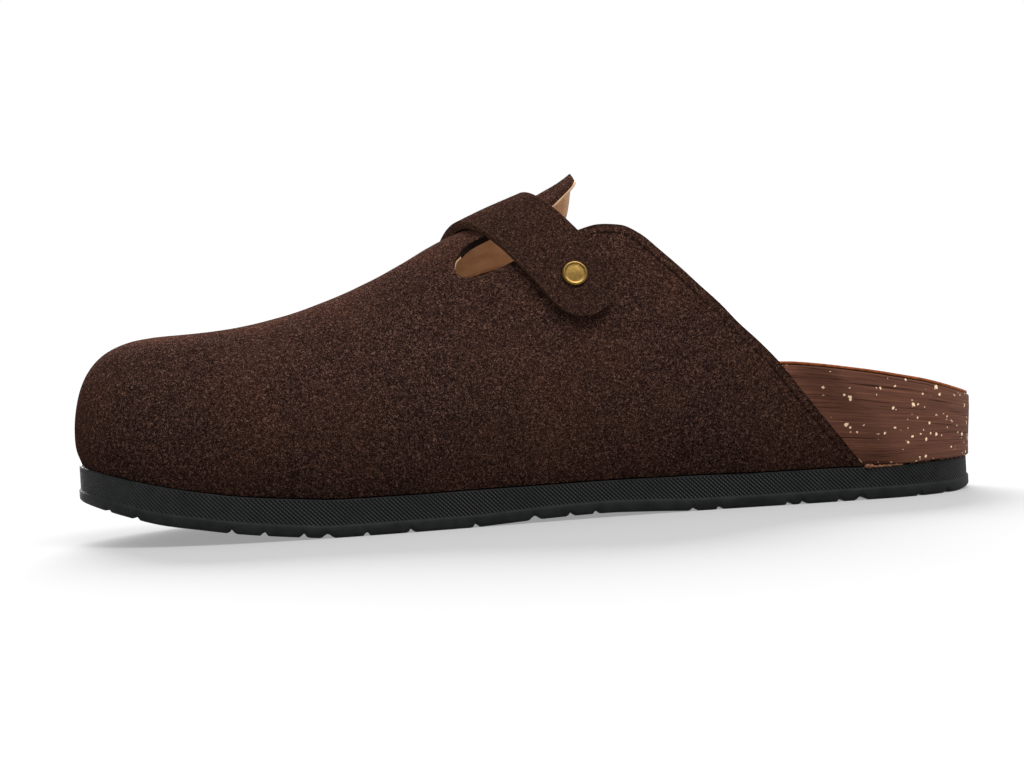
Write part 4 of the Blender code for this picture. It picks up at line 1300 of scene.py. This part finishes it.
    def round_slot(self, points: np.ndarray) -> None:
        """Bow the slot's front end forward so that it ends in a round, not a straight cut.

        Args:
            points: one side's points, moved here.
        """
        for step in range(self.slot_columns):
            column = self.slot_start + step
            ahead = points[column + 1] - points[column]
            ahead /= np.linalg.norm(ahead, axis=1)[:, None]
            for row in range(1, self.slot_rows):
                share = 2 * row / self.slot_rows - 1
                bow = self.slot_reach * math.sqrt(1 - share * share) * (1 - step / self.slot_columns) ** 1.5
                points[column, self.wing_rows + row] += ahead[self.wing_rows + row] * bow

    def surface(self) -> np.ndarray:
        """Join both sides over the ridge: rows from the medial base to the lateral base."""
        return self.last.centred(np.concatenate(
            [self.sides[Hand.MEDIAL], self.sides[Hand.LATERAL][:, ::-1][:, 1:]], axis=1))

    def stays(self, column: float, row: float) -> bool:
        """Say whether a face belongs to the leather and not to a slot or the open back.

        Args:
            column: the face's middle, counted from the rear.
            row: the face's middle, counted from the medial base.

        Returns:
            Whether it stays.
        """
        inward = min(row, 2 * self.rows - row)
        if inward > self.wing_rows and column < self.tongue_start:
            return False
        return not (self.wing_rows < inward < self.wing_rows + self.slot_rows and column < self.slot_start)

    def relief(self, place: np.ndarray) -> np.ndarray:
        """Give the leather its slight hollows and swellings.

        Args:
            place: points of the outer face.

        Returns:
            The points moved square to the surface by up to a third of a millimetre.
        """
        outward = np.cross(np.gradient(place, axis=1), np.gradient(place, axis=0))
        outward[-1] += outward[-1, ::-1]
        outward /= np.linalg.norm(outward, axis=2)[:, :, None] + 1e-9
        moved = place.copy()
        for index in np.ndindex(place.shape[:2]):
            swell = sum(noise.noise(Vector(place[index]) / size) * height for size, height in self.swells)
            moved[index] += outward[index] * swell
        return moved

    def shade_tongue_edge(self, bm: bmesh.types.BMesh) -> None:
        """Give the tongue's part before the strap its own slots, for painted shade: its cut edge, which lies in
        shadow over the slot, is coloured near black.

        Args:
            bm: the upper's or the lining's mesh, changed here.
        """
        uv = bm.loops.layers.uv["surface"]
        for face in bm.faces:
            column = max(loop[uv].uv[0] for loop in face.loops)
            row = sum(loop[uv].uv[1] for loop in face.loops) / len(face.loops)
            inward = min(row, 2 * self.rows - row)
            tongue = inward > self.wing_rows + self.slot_rows and column <= self.slot_start
            if tongue and self.columns[int(column)] > self.shaded_from:
                face.material_index = 2

    def dress(self) -> list[bpy.types.Object]:
        """Make the suede and the lining inside it.

        Returns:
            Both pieces.
        """
        place = self.surface()
        self.lift_tongue(place)
        place = self.relief(place)
        nap = BrushedSuede("brushed_brown_suede").make()
        cut = BrushedSuede("cut_suede_edge", "150C08", "32211A", "432E24", "7D5C4A").make()
        # Painted shade: near-black colour for the tongue's cut edge before the strap, where it lies in shadow
        # over the slot.
        shaded = PlainStuff("painted_shade_tongue_edge", "100A08", "1F1511", 0.9).make()
        skin = mapped_grid(place, Facing.TURNED, self.stays, True)
        self.shade_tongue_edge(skin)
        suede = finished_piece("upper_suede", skin, (nap, cut, nap, shaded))
        self.mark_edge(suede.data)
        wall = suede.modifiers.new("leather", "SOLIDIFY")
        wall.thickness = self.suede * MM
        wall.offset = -1.0
        wall.material_offset_rim = 1
        edge = suede.modifiers.new("worn_edge", "BEVEL")
        edge.width = 0.25 * MM
        edge.segments = 2
        edge.limit_method = "ANGLE"
        edge.angle_limit = math.radians(50)
        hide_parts("upper")
        tan = SplitLeatherLining("shaved_tan_split_leather").make()
        cut_tan = SplitLeatherLining("cut_tan_split_leather", "B99778", "D3B595").make()
        inner = mapped_grid(place, Facing.TURNED, self.stays, True)
        self.shade_tongue_edge(inner)
        # The lining's tongue faces and rim before the strap take the same painted shade.
        lining = finished_piece("upper_lining", inner, (tan, cut_tan, shaded, shaded))
        shift = lining.modifiers.new("inside_the_suede", "DISPLACE")
        shift.direction = "NORMAL"
        shift.mid_level = 0.0
        shift.strength = -(self.suede + self.between) * MM
        wall = lining.modifiers.new("leather", "SOLIDIFY")
        wall.thickness = self.lining * MM
        wall.offset = -1.0
        wall.material_offset = -2
        wall.material_offset_rim = 1
        return [suede, lining]


@dataclass
class Cloth:
    """A closely woven copy of the upper's outer face, on which straps and stitches are laid."""

    last: Last
    first: float = 44.0
    final: float = 196.0
    step: float = 1.0

    def __post_init__(self) -> None:
        """Weave the surface once."""
        stations = np.arange(self.first, self.final, self.step)
        rows = [np.vstack([self.last.square_section(Hand.MEDIAL, along)[6:],
                           self.last.square_section(Hand.LATERAL, along)[6:][::-1][1:]])
                for along in stations]
        width = len(rows[0])
        points = [Vector(p) for p in self.last.centred(np.vstack(rows))]
        faces = [(a, a + 1, a + width + 1, a + width) for i in range(len(stations) - 1)
                 for a in range(i * width, (i + 1) * width - 1)]
        self.tree = BVHTree.FromPolygons(points, faces)

    def normal(self, point: Vector, reach: float = 1.5) -> Vector:
        """Average the outward normal around a point.

        Args:
            point: the point, in millimetres.
            reach: how far around it.

        Returns:
            The normal, of length 1.
        """
        total = Vector((0.0, 0.0, 0.0))
        for shift in ((0, 0, 0), (reach, 0, 0), (-reach, 0, 0), (0, reach, 0), (0, -reach, 0)):
            found = self.tree.find_nearest(point + Vector(shift))[1]
            total += found if found.z > 0 or found.y * point.y > 0 else -found
        return total.normalized()

    def walk(self, point: Vector, heading: Vector, distance: float) -> tuple[Vector, Vector, Vector]:
        """Walk straight over the surface.

        Args:
            point: the start, in millimetres.
            heading: the direction to walk in.
            distance: how far.

        Returns:
            The place reached, the heading and the normal there.
        """
        place = self.tree.find_nearest(point)[0]
        normal = self.normal(place)
        heading = (heading - normal * heading.dot(normal)).normalized()
        steps = max(1, math.ceil(distance))
        for _ in range(steps):
            place = self.tree.find_nearest(place + heading * (distance / steps))[0]
            normal = self.normal(place)
            heading = (heading - normal * heading.dot(normal)).normalized()
        return place, heading, normal


@dataclass
class Strap:
    """The suede strap over the instep with its two rounded tabs and brass rivets."""

    last: Last
    cloth: Cloth
    crest: float = 151.2
    slant: float = 20.8
    width: float = 20.8
    thickness: float = 2.9
    lift: float = 0.4
    reach: dict = field(default_factory=lambda: {Hand.MEDIAL: 56.0, Hand.LATERAL: 59.0})
    tab_length: float = 12.0
    walk_step: float = 0.5
    across: int = 18
    rivet_from_end: float = 13.5
    rivet_radius: float = 4.0
    rivet_height: float = 1.3

    def __post_init__(self) -> None:
        """Walk the centre line once on both sides of the crest."""
        self.track = {hand: self.run_centre(hand) for hand in Hand}

    def run_centre(self, hand: Hand) -> list[tuple[Vector, Vector, Vector]]:
        """Walk from the crest to a tab's end in steps.

        Args:
            hand: the side to walk down.

        Returns:
            Places, headings and normals.
        """
        side, up = (read_one(table, self.crest) for table in (self.last.ridge_side, self.last.ridge_up))
        crest = Vector(self.last.centred(np.array([self.crest, side, up])))
        slant = math.radians(self.slant)
        heading = Vector((-math.sin(slant), math.cos(slant), 0.0)) * hand.value
        found = [self.cloth.walk(crest, heading, 0.001)]
        for _ in range(math.ceil(self.reach[hand] / self.walk_step) + 2):
            found.append(self.cloth.walk(found[-1][0], found[-1][1], self.walk_step))
        return found

    def centre(self, distance: float) -> tuple[Vector, Vector, Vector]:
        """Find a point of the centre line.

        Args:
            distance: its distance from the crest, negative on the lateral side.

        Returns:
            The point, the heading away from the crest, and the normal.
        """
        track = self.track[Hand.MEDIAL if distance >= 0 else Hand.LATERAL]
        place = abs(distance) / self.walk_step
        low = min(int(place), len(track) - 2)
        here, ahead = track[low], track[low + 1]
        spot, heading, normal = (a.lerp(b, place - low) for a, b in zip(here, ahead))
        return spot, heading.normalized(), normal.normalized()

    def surface(self) -> np.ndarray:
        """Lay the strap's lower face on the upper.

        Each tab is a rectangle bent into a half disc, which keeps its mesh even to the tip.

        Returns:
            Points along its length and across its width.
        """
        stations = []
        for hand in Hand:
            straight = self.reach[hand] - self.tab_length
            side = [(straight * i / 30, 0.0) for i in range(1, 31)]
            side += [(straight, i / 12) for i in range(1, 13)]
            stations += [(hand.value, *station) for station in side]
        stations.append((1, 0.0, 0.0))
        rows = []
        for hand, straight, part in sorted(stations, key=lambda s: s[0] * (s[1] + s[2])):
            row = []
            for share in np.linspace(-1, 1, self.across + 1):
                forward = self.tab_length * part * math.sqrt(1 - share * share / 2)
                aside = 0.5 * self.width * abs(share) * math.sqrt(1 - part * part / 2)
                place, heading, normal = self.centre(hand * (straight + forward))
                sideways = heading.cross(normal) * (hand if share > 0 else -hand)
                if aside > 0.01:
                    place, _, normal = self.cloth.walk(place, sideways, aside)
                row.append(tuple(place + normal * (self.lift + 0.3 * (1 - share * share))))
            rows.append(row)
        return np.array(rows)

    def rivet(self, name: str, hand: Hand, brass: bpy.types.Material) -> bpy.types.Object:
        """Spin one rivet cap on its tab.

        Args:
            name: the piece's name.
            hand: which tab it holds.
            brass: its material.

        Returns:
            The rivet.
        """
        place, _, normal = self.centre(hand.value * (self.reach[hand] - self.rivet_from_end))
        foot = place + normal * (self.lift + self.thickness + 0.1)
        radius, height = self.rivet_radius, self.rivet_height
        profile = ((0.0, -1.6), (radius - 0.5, -1.6), (radius - 0.2, -0.2), (radius, 0.15),
                   (radius, height - 0.55), (radius - 0.12, height - 0.22),
                   (radius - 0.4, height), (radius - 0.75, height + 0.02),
                   (radius - 0.95, height - 0.1), (radius - 1.2, height - 0.12),
                   (0.5 * radius, height - 0.06), (0.0, height - 0.02))
        bm = bmesh.new()
        points = [bm.verts.new((r, 0.0, z)) for r, z in profile]
        edges = [bm.edges.new(pair) for pair in zip(points, points[1:])]
        bmesh.ops.spin(bm, geom=points + edges, cent=(0, 0, 0), axis=(0, 0, 1), angle=2 * math.pi,
                       steps=56, use_merge=True)
        bmesh.ops.remove_doubles(bm, verts=bm.verts, dist=0.001)
        bmesh.ops.recalc_face_normals(bm, faces=bm.faces)
        turned = normal.to_track_quat("Z", "Y").to_matrix().to_4x4()
        placed = Matrix.Scale(MM, 4) @ Matrix.Translation(foot) @ turned
        bmesh.ops.transform(bm, matrix=placed, verts=bm.verts)
        piece = finished_piece(name + "_dressed", bm, (brass,))
        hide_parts(name)
        return piece

    def dress(self) -> list[bpy.types.Object]:
        """Make the strap and both rivets.

        Returns:
            The pieces.
        """
        nap = BrushedSuede("brushed_strap_suede", "110A08", "2F201B", "412B24", "806153").make()
        cut = BrushedSuede("worn_strap_edge", "1E1410", "4C362B", "6A4E40", "A17E68").make()
        sheet = mapped_grid(self.surface(), Facing.TURNED)
        strap = finished_piece("strap_dressed", sheet, (nap, cut))
        body = strap.modifiers.new("leather", "SOLIDIFY")
        body.thickness = self.thickness * MM
        body.offset = 1.0
        body.material_offset_rim = 1
        edge = strap.modifiers.new("worn_edge", "BEVEL")
        edge.width = 0.75 * MM
        edge.segments = 3
        edge.material = 1
        edge.limit_method = "ANGLE"
        edge.angle_limit = math.radians(50)
        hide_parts("strap")
        brass = TurnedBrass("turned_lacquered_brass").make()
        rivets = [self.rivet("rivet_" + hand.name.lower(), hand, brass) for hand in Hand]
        return [strap, *rivets]


@dataclass
class JointCrumbs:
    """Dried glue and cork crumbs squeezed out where the footbed meets the outsole."""

    last: Last
    bead_from: float = 30.0
    bead_to: float = 42.0
    bead_out: float = -0.6
    bead_sizes: tuple[float, float] = (0.45, 1.0)
    crumb_from: float = 4.0
    crumb_to: float = 30.0
    crumb_out: float = -0.75
    crumb_sizes: tuple[float, float] = (0.12, 0.38)
    crumb_share: float = 0.55
    seed: int = 7

    def lump(self, bm: bmesh.types.BMesh, hand: Hand, along: float, out: float, size: float) -> None:
        """Add one ragged lump at the joint.

        Args:
            bm: the mesh that takes it.
            hand: the side of the shoe.
            along: its distance from the heel.
            out: how far it stands out from the outline.
            size: its radius in millimetres.
        """
        place = self.last.plan(hand, along, out)
        up = read_one(self.last.sole_top, along) + 0.35 * size
        spot = Vector(self.last.centred(np.array([place[0], place[1], up])))
        stretch = Matrix.Diagonal((1.7, 0.8, 0.7, 1.0))
        matrix = Matrix.Scale(MM, 4) @ Matrix.Translation(spot) @ stretch
        made = bmesh.ops.create_icosphere(bm, subdivisions=2, radius=size, matrix=matrix)
        for vertex in made["verts"]:
            shift = noise.noise_vector(Vector(vertex.co) / MM / 0.6)
            vertex.co += shift * 0.35 * size * MM

    def dress(self) -> bpy.types.Object:
        """Lay the bead by the upper's end and smaller crumbs round the heel.

        Returns:
            The piece.
        """
        chance = random.Random(self.seed)
        bm = bmesh.new()
        for hand in Hand:
            for along in np.arange(self.bead_from, self.bead_to, 0.8):
                swollen = 0.5 + (along - self.bead_from) / 20
                self.lump(bm, hand, along, self.bead_out, chance.uniform(*self.bead_sizes) * swollen)
            for along in np.arange(self.crumb_from, self.crumb_to, 0.9):
                if chance.random() < self.crumb_share:
                    self.lump(bm, hand, along, self.crumb_out, chance.uniform(*self.crumb_sizes))
        glue = PlainStuff("dried_glue_and_cork_crumbs", "3A2219", "8A5F48", 0.8, 0.8).make()
        bmesh.ops.recalc_face_normals(bm, faces=bm.faces)
        return finished_piece("joint_crumbs", bm, (glue,))


@dataclass
class LooseThreads:
    """A few frayed fibres that stick out where the strap leaves the upper's edge."""

    cloth: Cloth
    spots: tuple = ((128.4, 33.0, 86.8), (127.2, 33.0, 87.0), (126.0, 33.0, 86.6))
    length: float = 3.0
    radius: float = 0.09
    rings: int = 8

    def dress(self) -> bpy.types.Object:
        """Bend each fibre as a thin three-sided tube.

        Returns:
            The piece.
        """
        bm = bmesh.new()
        for index, spot in enumerate(self.spots):
            start = self.cloth.tree.find_nearest(Vector(self.cloth.last.centred(np.array(spot))))[0]
            normal = self.cloth.normal(start)
            swing = Vector((-1.0, 0.2 * (index - 1), 0.7 - 0.5 * index)).normalized()
            rings = []
            for share in np.linspace(0.0, 1.0, self.rings):
                centre = start + normal * (0.2 + 1.6 * math.sin(2.6 * share)) + swing * self.length * share
                ring = []
                for turn in range(3):
                    angle = 2 * math.pi * turn / 3
                    around = normal * math.cos(angle) + Vector((0, 0, 1)) * math.sin(angle)
                    ring.append(bm.verts.new((centre + around * self.radius) * MM))
                rings.append(ring)
            for low, high in zip(rings, rings[1:]):
                for k in range(3):
                    bm.faces.new((low[k], low[(k + 1) % 3], high[(k + 1) % 3], high[k]))
            bm.faces.new(rings[0][::-1])
            bm.faces.new(rings[-1])
        bmesh.ops.recalc_face_normals(bm, faces=bm.faces)
        tan = PlainStuff("frayed_tan_fibre", "A77B55", "D0A57C", 0.9, 0.6).make()
        return finished_piece("loose_fibres", bm, (tan,))


@dataclass
class Stitching:
    """The row of waxed thread along the open back's edge, sunk in the suede."""

    cloth: Cloth
    upper: Upper
    inset: float = 2.7
    pitch: float = 2.6
    thread: float = 0.24
    clear_rear: int = 8
    clear_front: int = 4

    def path(self, hand: Hand) -> list[Vector]:
        """Run the row's line parallel to the open back's edge.

        Args:
            hand: the side of the shoe.

        Returns:
            Evenly spaced points.
        """
        edge = self.upper.topline(hand)
        line = []
        for before, point, after in zip(edge, edge[1:], edge[2:]):
            spot = Vector(point)
            inward = self.cloth.normal(spot).cross(Vector(after - before).normalized()) * hand.value
            if inward.z > 0 and inward.x < 0:
                inward = -inward
            line.append(self.cloth.tree.find_nearest(spot + inward * self.inset)[0])
        spaced = [line[self.clear_rear]]
        for point in line[self.clear_rear:-self.clear_front]:
            if (point - spaced[-1]).length >= self.pitch:
                spaced.append(spaced[-1] + (point - spaced[-1]).normalized() * self.pitch)
        return spaced

    def dress(self) -> bpy.types.Object:
        """Make every stitch as a short sunk capsule of thread.

        Returns:
            The piece.
        """
        bm = bmesh.new()
        for hand in Hand:
            spaced = self.path(hand)
            for start, end in zip(spaced, spaced[1:]):
                heading = (end - start).normalized()
                normal = self.cloth.normal(start)
                middle = (start + end) / 2 - normal * 0.04
                side = heading.cross(normal)
                frame_of_stitch = Matrix((side, heading, normal)).transposed().to_4x4()
                shape = Matrix.Diagonal((self.thread, 0.36 * self.pitch, 0.22, 1.0))
                matrix = Matrix.Scale(MM, 4) @ Matrix.Translation(middle) @ frame_of_stitch @ shape
                bmesh.ops.create_uvsphere(bm, u_segments=8, v_segments=6, radius=1.0, matrix=matrix)
        thread = PlainStuff("waxed_brown_thread", "0F0806", "2A1B15", 0.95, 0.9).make()
        bmesh.ops.recalc_face_normals(bm, faces=bm.faces)
        return finished_piece("topline_stitches", bm, (thread,))


def main() -> None:
    """Build the studio and every piece of the shoe in order."""
    logging.basicConfig(level=logging.INFO, format="%(message)s")
    studio = Studio()
    studio.lay_floor()
    studio.light()
    studio.place_camera()
    last = Last()
    cloth = Cloth(last)
    upper = Upper(last)
    made = [Outsole(last).dress(), *Bed(last).dress(), *upper.dress(), *Strap(last, cloth).dress(),
            Stitching(cloth, upper).dress(), JointCrumbs(last).dress(), LooseThreads(cloth).dress()]
    for piece in made:
        LOG.info("%s: %d faces, %s", piece.name, len(piece.data.polygons),
                 ", ".join(material.name for material in piece.data.materials))


if __name__ == "__main__":
    main()
